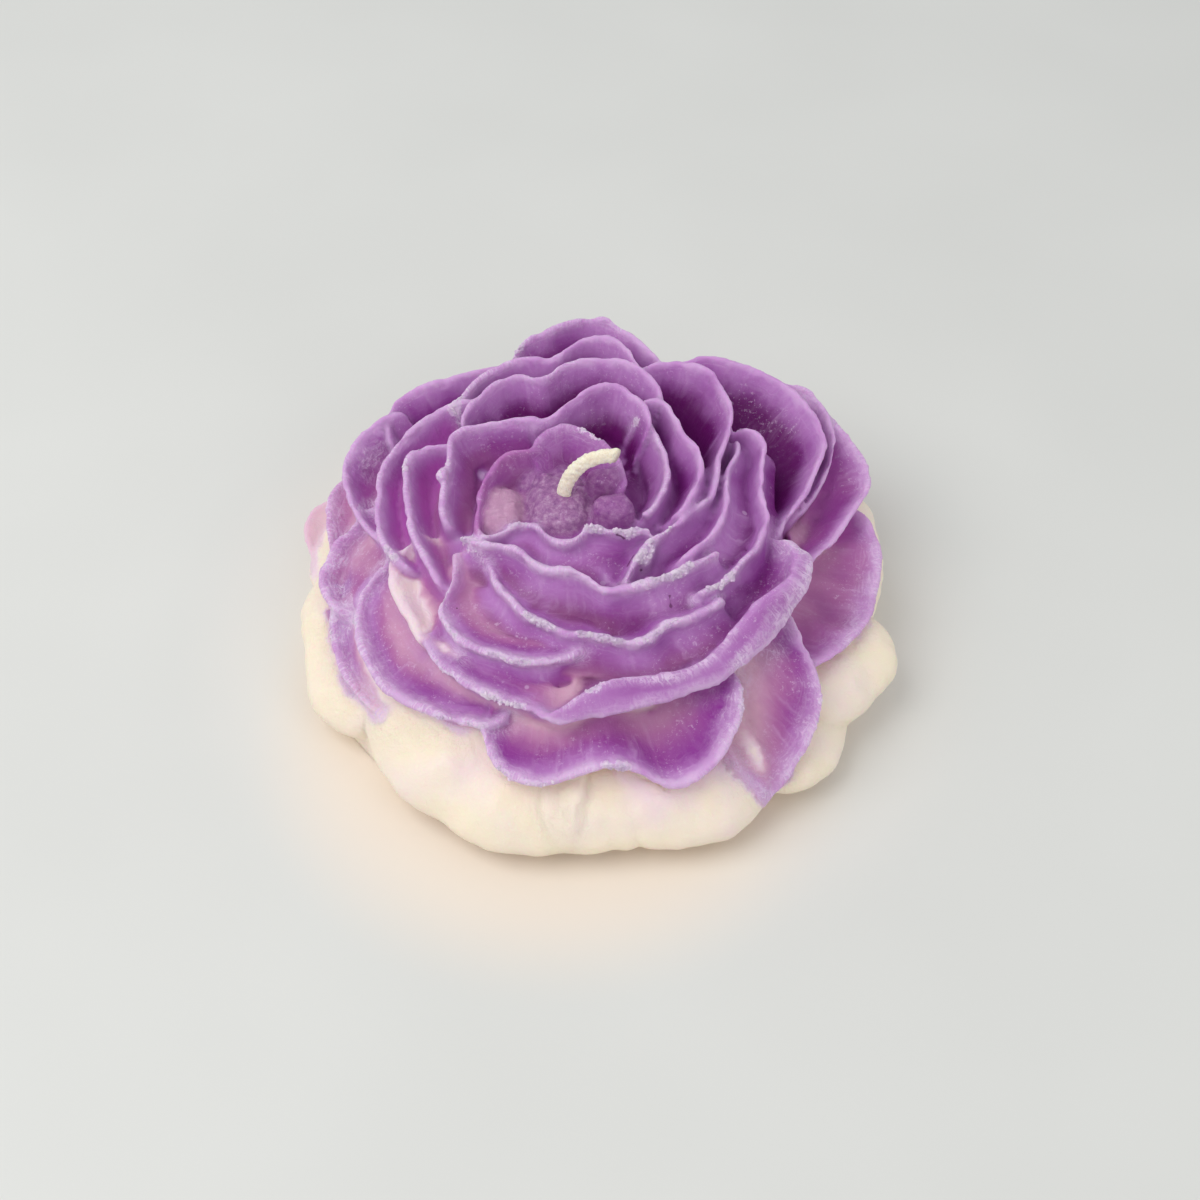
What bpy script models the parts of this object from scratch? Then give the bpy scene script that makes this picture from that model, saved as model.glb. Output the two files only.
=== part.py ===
"""Cast wax flower candle: one two-colour casting in the shape of a peony, and a cotton wick.

Metres, +Z up. The origin is the middle of the flat face that the candle rests on.
Azimuths turn from +X towards +Y, and the candle's front is towards -Y.
"""
import math

import bmesh
import bpy
from mathutils import Vector

MM = 0.001

# Driving dimensions, in millimetres and degrees.
FLOWER_AXIS = (-5.0, 2.0)      # the bud stands a little off the middle of the base
DOME_TILT = 6.0                # the heap of petals is higher at the back
PETAL_TIP = 1.5                # thickness of a petal at its rim
BASE_TIP = 4.6
ROOT_DEPTH = 4.0               # how far a petal reaches into the wax below its faces
ROOT_SET = 1.0                 # how far its bottom is set inwards from its faces
TUCK_IN = 3.0                  # how far a petal's side edges turn in behind their neighbours
TUCK_DOWN = 4.0
BASE_TUCK_IN = 6.0
FLUTE_REACH = 11.0             # flutes swell and fade over this length of the inner face
WICK_DIAMETER = 2.2
WICK_GAP = 0.3                 # all round the wick in its channel
WICK_ROOT = (-4.8, 3.3)
WICK_STEP = 1.5                # spacing of the wick's sections
CHANNEL_LENGTH = 80.0          # the cutter of the wick's channel, through the whole candle
CHANNEL_MIDDLE = 30.0
DOME_SIDES = 72
CURVE_STEPS = 12               # points between two given points of a curve, before spacing
STATION_STEP = 1.4             # spacing of the sections along a petal
SECTION_STEPS = 5              # steps from a petal's foot to its crest
VOXEL = 0.75                   # the petals and the heap are joined on a grid this fine
SOFTENING_ROUNDS = 2
WAX_TRIANGLES = 11800
FOOT_SNAP = 0.03               # how close to the table a point counts as standing on it

# Solid wax under the petals: radius and height, from the top of the bud to the table.
DOME = [(0.01, 25.6), (7.0, 25.2), (12.0, 24.0), (17.0, 22.6), (22.0, 21.2), (27.0, 19.0),
        (31.0, 16.0), (34.0, 12.0), (37.0, 6.0), (38.0, -6.0)]

# Petals from the bud outwards. Each rim is a list of (azimuth, radius, height) about the
# flower's axis. Each form is (lean, depth, rise, flare, drop): the inner face starts `lean`
# inside the rim and `depth` below it, the petal points `rise` degrees above the level at its
# rim, and the outer face ends `flare` outside the rim and `drop` below it. Several forms are
# spread evenly along the rim. A crest is the fold line of a petal whose lip turns down, a sink
# is how far the side edges turn down where that is not TUCK_DOWN, and flutes are how many
# waves run down the inner face and how high they are.
PETALS = {
    # bud
    "bud_left": dict(forms=[(2.0, 4.5, 85, 0.8, 5)], rim=[
        (212, 12.6, 27), (203, 13, 27.5), (188, 12, 28.3), (172, 11.6, 29), (156, 11, 29.5),
        (140, 10.4, 30), (122, 9.2, 30), (108, 8.6, 29)]),
    "bud_back": dict(forms=[(4.0, 4.0, 60, 0.8, 5)], rim=[
        (120, 9.4, 29.5), (105, 10.7, 31), (88, 11.5, 31.3), (70, 10.7, 31), (52, 10, 31),
        (35, 9.7, 30.5), (20, 9.4, 29.5), (8, 9, 28.5)]),
    "bud_front": dict(forms=[(2.5, 2.5, 80, 2.6, 5.5)], aim=(-4, 14), tip=1.7, rim=[
        (211, 13, 27), (213, 10.4, 27), (213, 7.4, 27), (227, 5.6, 27), (249, 6.7, 27),
        (268, 7.4, 27), (281, 7.3, 27), (305, 6.2, 27.3), (317, 7.3, 27.3), (324, 9.1, 27.3),
        (329, 11, 27.3), (337, 12.8, 27.2), (333, 14.6, 26.6), (318, 15.4, 26)]),
    # first ring
    "ring1_left": dict(forms=[(4.0, 4.0, 68, 1.5, 6), (4.0, 5.5, 68, 1.0, 6)], tip=1.8, rim=[
        (192, 16.8, 26.5), (181, 17.2, 28), (168, 17.3, 29), (156, 18, 29.6), (147, 19.5, 30),
        (138, 18.7, 30), (128, 16.4, 30.6), (115, 14.8, 31), (104, 13.6, 30.6)]),
    "ring1_back": dict(forms=[(4.0, 6.5, 66, 1.0, 6)], rim=[
        (110, 13.4, 30), (98, 13.6, 31.2), (90, 15, 32), (79, 18.3, 32.2), (69, 20.6, 32.4),
        (60, 20, 32.2), (51, 19, 32), (42, 17, 31)]),
    "ring1_right": dict(forms=[(3.5, 5.2, 80, 1.5, 5)], rim=[
        (57, 20.5, 30), (49, 22.2, 31), (40, 21.3, 31), (30, 20, 31), (20, 20.5, 30.7),
        (10, 20, 30.2), (358, 18, 29.6), (349, 16.4, 28.3)]),
    "crescent": dict(forms=[(3.0, 4.2, 76, 1.5, 5)], rim=[
        (54, 17.4, 28.6), (46, 18.1, 30), (34, 16.8, 30), (20, 16, 30), (8, 15, 29.6),
        (356, 13.5, 28.8), (347, 12.2, 27.5)]),
    "ring1_front": dict(forms=[(3.0, 3.0, 78, 3.5, 5), (3.0, 3.6, 78, 5.0, 5.6)], tip=1.9, rim=[
        (211, 15, 27.3), (219, 13.5, 28), (227, 11.8, 28), (237, 11.3, 28), (248, 11.8, 27.6),
        (259, 12.3, 27.4), (270, 13, 27.8), (281, 14.2, 28), (289, 17, 27.4), (297, 18, 27.2),
        (306, 19, 27.5), (316, 20.5, 28), (326, 21.8, 28), (336, 23.6, 27.3)]),
    "spiral_inner": dict(forms=[(2.5, 3.0, 78, 5.0, 4)], rim=[
        (303, 16.2, 25.8), (317, 14.6, 26.8), (330, 14.6, 27.3), (342, 16.5, 28),
        (352, 18.4, 28.2), (1, 20.4, 27.5)]),
    "spiral_middle": dict(forms=[(3.0, 4.0, 80, 4.0, 4.4)], sink=9, rim=[
        (28, 28.4, 26), (22, 27.4, 27), (16, 25, 27.2), (8, 23.8, 27.6), (358, 23.4, 28),
        (348, 22.6, 28), (338, 21.2, 27.8), (326, 19.4, 26.8)]),
    "spiral_outer": dict(forms=[(3.6, 4.8, 80, 1.5, 6), (3.5, 3.6, 76, 4.0, 5)], sink=9, rim=[
        (32, 26.8, 26), (29, 31, 27), (23, 32, 27), (16, 30, 26.5), (7, 28.7, 26.2),
        (357, 29, 26), (348, 28.4, 26), (339, 27.1, 26), (330, 26, 25.5), (320, 24, 24.4)]),
    # second ring
    "ring2_left": dict(forms=[(4.5, 4.0, 60, 1.5, 6), (4.5, 6.5, 66, 1.0, 6)], tip=1.8, rim=[
        (217, 20.8, 23), (206, 21, 25), (192, 21.8, 26), (178, 22.3, 26.2), (166, 23.8, 27),
        (157, 24.5, 27.4), (151, 22, 28), (145, 18.6, 27.4)]),
    "ring2_back": dict(forms=[(5.0, 6.5, 62, 1.0, 6)], rim=[
        (138, 20, 28), (130, 22.6, 29), (118, 24, 30), (107, 24.5, 30.2), (99, 22.8, 30.4),
        (90, 24.8, 31), (81, 26.2, 31.2), (70, 27, 31.2), (60, 25.6, 31), (50, 22.6, 30.4)]),
    "ring2_right": dict(forms=[(9.0, 9.0, 55, 0.5, 7), (5.0, 8.0, 66, 1.0, 6)], rim=[
        (70, 26.5, 28), (63, 30.8, 29), (56, 33, 29.2), (49, 33.5, 29.2), (42, 32, 29),
        (35, 30.3, 29), (27, 27, 29), (18, 24, 28.8), (9, 22.4, 28.3), (1, 21, 27.3)]),
    "ring2_front": dict(forms=[(3.5, 2.0, 72, 3.5, 4.6), (4.5, 2.6, 72, 4.5, 4.4)], tip=2.0, rim=[
        (203, 15.2, 26.5), (212, 14, 26), (223, 14.2, 25), (234, 15.6, 24.5), (245, 16.8, 24.3),
        (254, 18.6, 24.2), (262, 19.4, 24.2), (271, 21, 24), (281, 21.8, 24.1),
        (290, 24, 24), (298, 25.2, 24.2), (305, 24.7, 24.8), (315, 26.3, 25), (325, 27, 24.6)]),
    # third ring
    "ring3_left": dict(forms=[(5.0, 3.5, 55, 0.5, 6), (5.5, 7.0, 62, 0.5, 6)], tip=1.8, rim=[
        (202, 23.8, 23.2), (191, 26, 24), (181, 26.8, 24), (170, 27.6, 24), (160, 28.6, 24.6),
        (148, 28, 26), (138, 27.4, 26.8), (128, 25.6, 28), (119, 23, 27.5)]),
    "ring3_back": dict(forms=[(5.0, 6.0, 60, 0.5, 7)], rim=[
        (130, 25.2, 27), (119, 28, 28), (108, 29, 29), (99, 28.5, 29.4), (92, 28.4, 29.8),
        (86, 31, 30.2), (80, 32.8, 30.2), (74, 32, 30), (66, 28, 29)]),
    "ring3_front": dict(forms=[(5.0, 1.6, 40, 1.0, 3.4)], tip=1.8, rim=[
        (208, 17, 25.4), (215, 18.5, 24.8), (221, 21, 24), (224, 23.5, 23.3), (230, 24.8, 22.8),
        (239, 25.8, 22.5), (249, 25.8, 22.5), (259, 25.6, 22.4), (268, 24.8, 22), (278, 22.6, 21)]),
    "white_petal": dict(forms=[(5.0, 2.0, 40, -0.5, 4)], tip=2.6, rim=[
        (190, 20, 23.4), (193, 22.6, 23.4), (197, 25.4, 22.7), (203, 26.3, 22), (210, 26.6, 21.2),
        (217, 27, 20.6), (225, 27.3, 20.3), (231, 27, 20), (238, 26, 19.8)]),
    "ring4_left_low": dict(forms=[(6.0, 0.5, 25, -1.0, 3)], tip=1.8, rim=[
        (225, 26.4, 20.4), (229, 28, 20.2), (234, 28.8, 19.8), (240, 29.4, 19.6),
        (247, 30.1, 19.5), (254, 30.4, 19.5),
        (262, 31.2, 19.4), (269, 32.4, 19.2), (276, 31, 18.8)]),
    "ring4_front": dict(forms=[(9.5, 1.0, -60, -2.5, 3.5)], tip=1.8, rim=[
        (264, 31.6, 18.4), (270, 32.6, 18.5), (277, 32.3, 19), (287, 32.4, 19.4),
        (296, 32.9, 19.5), (304, 33.6, 19.5), (311, 34.3, 19.6), (318, 34.5, 20),
        (326, 35.1, 20.6), (334, 35.4, 21.4), (341, 36, 22.2), (348, 35.6, 22.8), (353, 32, 22.8)],
        crest=[
        (266, 31.4, 19.4), (268, 31.8, 20.4), (273, 30.4, 22), (281, 28.8, 22.5), (291, 29.4, 22.5),
        (298, 31, 22.5), (304, 31.4, 22.6), (311, 31.2, 23), (318, 31, 24.2), (326, 31.4, 25),
        (334, 33.4, 24.9), (342, 34.6, 24.6), (350, 32, 24)]),
    # outer petals
    "back_high": dict(forms=[(7.0, 7.0, 56, -2.0, 8)], rim=[
        (108, 30.5, 25), (102, 34.2, 27), (96, 36, 28), (89, 38, 28.2), (82, 39.3, 28.2),
        (76, 37.4, 28), (69, 35, 27.4), (62, 33, 26)]),
    "back_left": dict(forms=[(7.0, 6.0, 50, -2.0, 7)], rim=[
        (144, 34, 20.5), (136, 37.3, 21.6), (128, 36.4, 23), (118, 34.4, 24), (108, 33, 25),
        (98, 33, 24)]),
    "left_high": dict(forms=[(6.0, 3.0, 48, -1.5, 6), (8.0, 6.5, 50, -1.5, 6)], tip=1.9, rim=[
        (191, 23.5, 20.6), (182, 27.5, 21), (172, 31, 20.6), (161, 35, 20.2), (152, 37.2, 20.3),
        (144, 36.9, 21.4), (136, 35, 21.6)]),
    "right_bowl": dict(forms=[(9.0, 8.0, 54, -1.5, 7), (13.0, 8.5, 46, -1.5, 7),
                              (10.0, 8.0, 54, -1.0, 6)], rim=[
        (64, 34, 24.5), (57, 38.4, 26), (48, 41.6, 25.6), (40, 43.4, 24.7), (31, 43.8, 24),
        (22, 42.2, 23.4), (13, 37.6, 22.6), (5, 33.4, 22), (354, 30, 21.6)]),
    "right_behind": dict(forms=[(9.0, 7.0, 55, -3.0, 7)], rim=[
        (46, 44.5, 20.8), (38, 48, 21.4), (30, 47, 21.2), (22, 43.8, 20.8), (14, 39.2, 20),
        (7, 34.4, 19.4)]),
    "right_tip": dict(forms=[(10.0, 4.0, 30, -4.0, 6)], flutes=(4, 0.3), rim=[
        (50, 43, 20.4), (40, 47.4, 20.8), (31, 48.2, 20.2), (23, 48.6, 19.2), (16, 48.4, 18),
        (10, 44.4, 17.8), (3, 40.6, 17.6), (355, 35.8, 17.6)]),
    "left_ear": dict(forms=[(8.0, 1.5, 30, -3.5, 5)], tip=1.8, rim=[
        (166, 28.5, 19), (174, 31.4, 18.8), (178, 34, 16.6), (185, 36, 15.2), (190, 35.6, 14.4),
        (197, 33.6, 13.6)]),
    "left_behind": dict(forms=[(8.0, 3.0, 35, -3.0, 6)], rim=[
        (147, 34, 17), (155, 36.8, 16.6), (162, 38, 15.2), (168, 36.8, 13.4), (175, 34.8, 12.4)]),
    "left_tip": dict(forms=[(10.0, 2.0, 30, -4.0, 5)], rim=[
        (150, 36, 10.6), (156, 40.7, 10), (160, 42.8, 9), (166, 41.4, 8.2), (173, 38.4, 8),
        (181, 35.4, 8)]),
    "left_front": dict(forms=[(7.0, 1.0, 35, -2.0, 4), (7.0, 0.0, 28, -3.0, 4)], tip=2.0, rim=[
        (189, 24, 20.8), (195, 28, 19.6), (199, 31, 17.6), (206, 32.8, 16.6), (215, 33.8, 15.8),
        (225, 34.5, 15.1), (237, 33.4, 15), (250, 32.8, 15.8), (256, 31, 16)]),
    "left_front_low": dict(forms=[(7.0, -1.5, 30, -3.0, 4)], tip=1.8, rim=[
        (188, 33.6, 14), (194, 34.8, 13), (199, 35.7, 12.2), (204, 36.2, 11.6), (208, 36.3, 11),
        (214, 36.3, 10.4), (222, 36, 10), (228, 34.9, 10), (236, 33.2, 10.4), (244, 31.8, 11)]),
    "front": dict(forms=[(9.0, -3.0, 8, -4.0, 4), (12.5, -2.8, 4, -4.0, 4)], tip=2.0, rim=[
        (251, 32.6, 15.8), (253, 35, 14.8), (257, 37.4, 13.8), (263, 39, 13.3), (270, 38.8, 13.7),
        (278, 38, 15.5), (284, 38.6, 14.8), (291, 41.6, 12.7), (297, 42.4, 14), (303, 41.4, 16.2),
        (309, 39, 17.2), (315, 35, 18)]),
    "front_right": dict(forms=[(13.0, -2.5, 10, -4.0, 4), (14.0, -8.5, -50, -4.0, 3)], tip=1.9,
                        flutes=(3, 0.35), rim=[
        (338, 34, 18.4), (332, 38.6, 17), (326, 43.2, 15), (321, 45.4, 12), (315, 46.1, 9),
        (309, 46, 5.6), (307, 43.8, 7.4),
        (305, 40.6, 10.4)]),
    "right": dict(forms=[(14.0, -2.5, 12, -6.0, 4)], flutes=(6, 0.55), rim=[
        (19, 41, 15), (12, 46.4, 14.2), (5, 47.4, 14), (358, 46.7, 13.6), (350, 45.9, 13.5),
        (343, 44.6, 13.8), (336, 42.6, 14.5), (328, 40, 15.2)]),
    # outer petals of the far side
    "back_outer": dict(forms=[(9.0, 2.0, 38, -4.0, 6)], rim=[
        (66, 36, 17), (74, 39.4, 18.5), (84, 41, 17.4), (95, 40, 18.2), (104, 38.4, 17.5),
        (112, 35, 16.4)]),
    "back_left_outer": dict(forms=[(8.0, 2.0, 38, -4.0, 6)], rim=[
        (104, 35.6, 15), (114, 38.4, 16.4), (124, 39.6, 15.2), (134, 39.4, 14.4),
        (144, 38.6, 14.6), (152, 35.6, 14)]),
    "back_right_outer": dict(forms=[(9.0, 2.0, 38, -4.0, 6)], rim=[
        (38, 42.4, 13), (46, 45, 14.6), (55, 44.6, 13.6), (64, 43, 14.8), (72, 39.6, 14)]),
    "back_low_left": dict(forms=[(9.0, -1.0, 15, -4.0, 4)], rim=[
        (98, 38.6, 10), (108, 40.6, 10.4), (119, 41, 9.2), (130, 41.4, 9.8), (140, 39, 9.2)]),
    "back_low_right": dict(forms=[(9.0, -1.0, 15, -4.0, 4)], rim=[
        (56, 42, 8.6), (66, 42.8, 9.8), (77, 42, 8.8), (88, 41, 9.8), (98, 38, 9)]),
}

# Cream petals of the base, which droop from under the purple ones to the table.
BASE_PETALS = {
    "base_left": dict(forms=[(11, -4, -55, -3, 6)], flutes=(3, 0.3), rim=[
        (172, 34, 7), (182, 37, 6.4), (189, 38.4, 5.8), (198, 38.8, 4.6), (207, 40.2, 3.6),
        (214, 39, 2.8), (221, 36.6, 2.4)]),
    "base_front_left": dict(forms=[(14, -9, -62, -3, 6)], flutes=(5, 0.5), rim=[
        (219, 34.5, 4.6), (225, 37, 3.8), (232, 39.4, 3.4), (241, 40.6, 3), (250, 41.8, 2.6),
        (259, 43, 2.4), (267, 42.8, 2.4), (275, 41, 3)]),
    "base_front": dict(forms=[(13, -8, -62, -3, 6)], rim=[
        (266, 41, 3), (272, 42.4, 2.5), (278, 42.7, 2.4), (284, 42.4, 2.5), (289, 40.6, 3)]),
    "base_front_right": dict(forms=[(15, -9, -58, -3, 6)], flutes=(4, 0.35), rim=[
        (282, 41, 3), (287, 43.8, 2.5), (293, 45.4, 2.4), (300, 45.9, 2.5), (306, 45.4, 3),
        (312, 43.4, 4)]),
    "base_right": dict(forms=[(14, -6, -50, -3, 6)], flutes=(2, 0.5), rim=[
        (309, 43, 3.4), (315, 46.6, 2.8), (321, 47.6, 2.6), (327, 46.8, 2.8), (333, 44, 3.4)]),
    "base_right_side": dict(forms=[(14, -5, -45, -3, 6)], rim=[
        (325, 43.6, 6), (331, 46.8, 5.4), (338, 49, 5.4), (345, 49.4, 6), (351, 46, 6.4)]),
    "base_right_back": dict(forms=[(14, -5, -50, -3, 6)], rim=[
        (348, 44, 6), (356, 46, 6.4), (5, 47.6, 6), (13, 48.8, 6.4), (20, 48.8, 6.6),
        (28, 46, 6)]),
    "base_back_right": dict(forms=[(14, -7, -55, -3, 6)], rim=[
        (24, 44, 4.4), (34, 47, 3.8), (45, 47, 3.4), (56, 45, 3.6), (66, 42.6, 3.4),
        (74, 39.6, 3.8)]),
    "base_back": dict(forms=[(13, -7, -55, -3, 6)], rim=[
        (68, 39.6, 3.6), (78, 42, 3), (90, 41.6, 3.2), (102, 40.4, 3), (112, 38, 3.6)]),
    "base_back_left": dict(forms=[(12, -6, -55, -3, 6)], rim=[
        (106, 37.6, 4), (118, 40.4, 3.2), (130, 40.8, 3.4), (142, 39.8, 3.2), (152, 37.6, 3.8),
        (160, 34.6, 4.6)]),
    "base_left_back": dict(forms=[(12, -5, -55, -3, 6)], rim=[
        (150, 35, 5.4), (158, 38, 4.6), (167, 39, 4.6), (176, 37.6, 5), (184, 34.6, 6)]),
}

# Soft lumps of wax around the wick: azimuth, radius and height of the middle, and half sizes.
LUMPS = {
    "pillow": ((351, 7.3, 26.0), (3.0, 2.2, 2.6)),
    "fold": ((28, 6.8, 27.3), (2.8, 1.4, 2.6)),
    "floor": ((120, 1.4, 24.5), (4.2, 5.4, 2.9)),
    "smooth_patch": ((183, 8.8, 24.6), (2.8, 4.4, 2.7)),
    "floor_back": ((110, 6.4, 25.0), (4.0, 2.4, 1.8)),
}
CUSHION = 2.8                  # 2 would make the lumps ellipsoids, more makes them boxier

# The wick's route through the wax and where it bends over above it.
WICK_ROUTE = [(-4.8, 3.3, 0.6), (-4.8, 3.3, 14.0), (-4.8, 3.3, 26.6), (-4.7, 3.4, 28.2),
              (-4.0, 3.7, 30.2), (-3.0, 3.9, 31.8), (-1.6, 4.1, 33.0), (0.2, 4.2, 33.8),
              (1.9, 4.1, 34.2), (2.6, 4.0, 34.3)]


def clear_scene():
    for obj in list(bpy.data.objects):
        bpy.data.objects.remove(obj)


def new_collection(name, hidden=False):
    collection = bpy.data.collections.new(name)
    bpy.context.scene.collection.children.link(collection)
    collection.hide_render = hidden
    return collection


def material(name, colour, roughness, subsurface=0.0):
    mat = bpy.data.materials.new(name)
    mat.use_nodes = True
    shader = mat.node_tree.nodes["Principled BSDF"]
    shader.inputs["Base Color"].default_value = (*colour, 1.0)
    shader.inputs["Roughness"].default_value = roughness
    shader.inputs["Metallic"].default_value = 0.0
    shader.inputs["Subsurface Weight"].default_value = subsurface
    mat.diffuse_color = (*colour, 1.0)
    return mat


def flower_point(azimuth, radius, height):
    """A point about the flower's axis, in metres."""
    angle = math.radians(azimuth)
    return Vector((FLOWER_AXIS[0] + radius * math.cos(angle),
                   FLOWER_AXIS[1] + radius * math.sin(angle), height)) * MM


def smooth_curve(points, step):
    """Even stations along a Catmull-Rom curve through the points."""
    ends = [2 * points[0] - points[1]] + points + [2 * points[-1] - points[-2]]
    dense = []
    for p0, p1, p2, p3 in zip(ends, ends[1:], ends[2:], ends[3:]):
        for k in range(CURVE_STEPS):
            t = k / CURVE_STEPS
            dense.append(0.5 * (2 * p1 + (p2 - p0) * t + (2 * p0 - 5 * p1 + 4 * p2 - p3) * t**2
                                + (3 * p1 - p0 - 3 * p2 + p3) * t**3))
    dense.append(points[-1])
    lengths = [0.0]
    for a, b in zip(dense, dense[1:]):
        lengths.append(lengths[-1] + (b - a).length)
    count = max(4, round(lengths[-1] / step))
    stations = []
    k = 0
    for i in range(count + 1):
        target = lengths[-1] * i / count
        while k < len(lengths) - 2 and lengths[k + 1] < target:
            k += 1
        share = (target - lengths[k]) / (lengths[k + 1] - lengths[k])
        stations.append(dense[k].lerp(dense[k + 1], min(1.0, share)))
    return stations


def bend_to(start, bend, end, steps):
    """Points of a curve that leaves `start` towards `bend` and reaches `end` from it."""
    shares = [k / steps for k in range(steps + 1)]
    return [start * (1 - t) ** 2 + bend * 2 * t * (1 - t) + end * t * t for t in shares]


def petal_section(form, tip, crest):
    """Closed outline of a petal across its rim, as (outwards, up, length to the rim).

    It runs up the inner face from the foot, over the crest where there is one, round the
    rim, which touches (0, 0), down the outer face and back below both faces. The length is
    measured along the inner face and is 0 everywhere else.
    """
    lean, depth, rise, flare, drop = form
    turn = math.radians(rise)
    ahead = Vector((math.cos(turn), math.sin(turn)))
    inwards = Vector((-ahead.y, ahead.x)) * tip / 2
    middle = -ahead * tip / 2
    foot = Vector((-lean, -depth))
    skirt = Vector((flare, -drop))
    if crest:
        top = Vector(crest)
        inner = bend_to(foot, Vector((top.x - 0.5, foot.y)), top, SECTION_STEPS)
        shoulder = Vector((top.x * 0.3, top.y * 0.85))
        inner += bend_to(top, shoulder, middle + inwards, SECTION_STEPS)[1:]
    else:
        reach = (middle + inwards - foot).length
        inner = bend_to(foot, middle + inwards - ahead * reach * 0.5, middle + inwards,
                        SECTION_STEPS)
    reach = (skirt - middle + inwards).length
    outer = bend_to(middle - inwards, middle - inwards - ahead * reach * 0.5, skirt,
                    SECTION_STEPS)
    rounding = []
    for angle in (45, 90, 135):
        around = math.radians(angle)
        rounding.append(middle + inwards * math.cos(around) + ahead * math.sin(around) * tip / 2)
    outline = []
    length = 0.0
    for k in range(len(inner) - 1, -1, -1):
        outline.insert(0, (inner[k].x, inner[k].y, length))
        if k:
            length += (inner[k] - inner[k - 1]).length
    deep = min(-depth, -drop) - ROOT_DEPTH
    bottom = [Vector((flare - ROOT_SET, deep)), Vector((-lean - ROOT_SET, deep))]
    return outline + [(p.x, p.y, 0.0) for p in rounding + outer + bottom]


def along_rim(forms, share):
    """The form at a share of the rim's length, from forms spread evenly along it."""
    place = share * (len(forms) - 1)
    k = min(int(place), len(forms) - 2)
    if k < 0:
        return forms[0]
    return tuple(a + (b - a) * (place - k) for a, b in zip(forms[k], forms[k + 1]))


def tucked(points, aim, tuck_in, sink):
    """A rim with both ends turned in and down behind the neighbouring petals."""
    rim = [flower_point(*p) for p in points]
    for end, place in ((rim[0], 0), (rim[-1], len(rim) + 1)):
        inwards = Vector((aim.x - end.x, aim.y - end.y, 0.0)).normalized()
        rim.insert(place, end + inwards * tuck_in * MM - Vector((0, 0, sink * MM)))
    return rim


def add_petal(mesh, spec, default_tip, tuck_in):
    """Loft one petal's section along its rim, as a closed body in the bmesh."""
    aim = Vector((*spec.get("aim", FLOWER_AXIS), 0.0)) * MM
    tip = spec.get("tip", default_tip)
    sink = spec.get("sink", TUCK_DOWN)
    flutes, flute_height = spec.get("flutes", (0, 0.0))
    stations = smooth_curve(tucked(spec["rim"], aim, tuck_in, sink), STATION_STEP * MM)
    crests = None
    if "crest" in spec:
        crests = smooth_curve(tucked(spec["crest"], aim, tuck_in, sink), STATION_STEP * MM)
    rings = []
    for i, point in enumerate(stations):
        share = i / (len(stations) - 1)
        outwards = Vector((point.x - aim.x, point.y - aim.y, 0.0)).normalized()
        crest = None
        if crests:
            above = (crests[round(share * (len(crests) - 1))] - point) / MM
            crest = (-above.xy.length, above.z)
        ring = []
        for out, up, length in petal_section(along_rim(spec["forms"], share), tip, crest):
            swell = math.sin(math.pi * min(1.0, length / FLUTE_REACH))
            up += flute_height * swell * math.sin(2 * math.pi * flutes * share)
            ring.append(mesh.verts.new(point + outwards * out * MM + Vector((0, 0, up * MM))))
        rings.append(ring)
    for first, second in zip(rings, rings[1:]):
        for k in range(len(first)):
            nxt = (k + 1) % len(first)
            mesh.faces.new((first[k], second[k], second[nxt], first[nxt]))
    mesh.faces.new(rings[0])
    mesh.faces.new(rings[-1][::-1])


def add_lump(mesh, middle, half):
    """A soft cushion of wax, between an ellipsoid and a box."""
    ball = bmesh.ops.create_icosphere(mesh, subdivisions=3, radius=1.0)["verts"]
    for vert in ball:
        vert.co /= sum(abs(c) ** CUSHION for c in vert.co) ** (1 / CUSHION)
        vert.co = flower_point(*middle) + Vector(a * b for a, b in zip(vert.co, half)) * MM


def petals_object(collection):
    mesh = bmesh.new()
    for spec in PETALS.values():
        add_petal(mesh, spec, PETAL_TIP, TUCK_IN)
    for spec in BASE_PETALS.values():
        add_petal(mesh, spec, BASE_TIP, BASE_TUCK_IN)
    for middle, half in LUMPS.values():
        add_lump(mesh, middle, half)
    bmesh.ops.recalc_face_normals(mesh, faces=mesh.faces)
    data = bpy.data.meshes.new("petals")
    mesh.to_mesh(data)
    mesh.free()
    obj = bpy.data.objects.new("petals", data)
    collection.objects.link(obj)
    return obj


def dome_object(collection):
    """Turned heap of wax under the petals, tilted so that its back is higher."""
    data = bpy.data.meshes.new("dome")
    data.from_pydata([(r * MM, 0, h * MM) for r, h in DOME] + [(0, 0, DOME[-1][1] * MM)],
                     [(k, k + 1) for k in range(len(DOME))], [])
    obj = bpy.data.objects.new("dome", data)
    collection.objects.link(obj)
    screw = obj.modifiers.new("Turn", 'SCREW')
    screw.steps = DOME_SIDES
    screw.render_steps = DOME_SIDES
    screw.use_merge_vertices = True
    screw.merge_threshold = 0.00005
    obj.location = (FLOWER_AXIS[0] * MM, FLOWER_AXIS[1] * MM, 0)
    obj.rotation_euler = (math.radians(DOME_TILT), 0, 0)
    return obj


def evaluated_bmesh(obj, mesh):
    """Add an object's evaluated mesh, in world space, to a bmesh."""
    bpy.context.view_layer.update()
    evaluated = obj.evaluated_get(bpy.context.evaluated_depsgraph_get())
    data = bpy.data.meshes.new_from_object(evaluated)
    data.transform(obj.matrix_world)
    mesh.from_mesh(data)
    bpy.data.meshes.remove(data)


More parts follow.
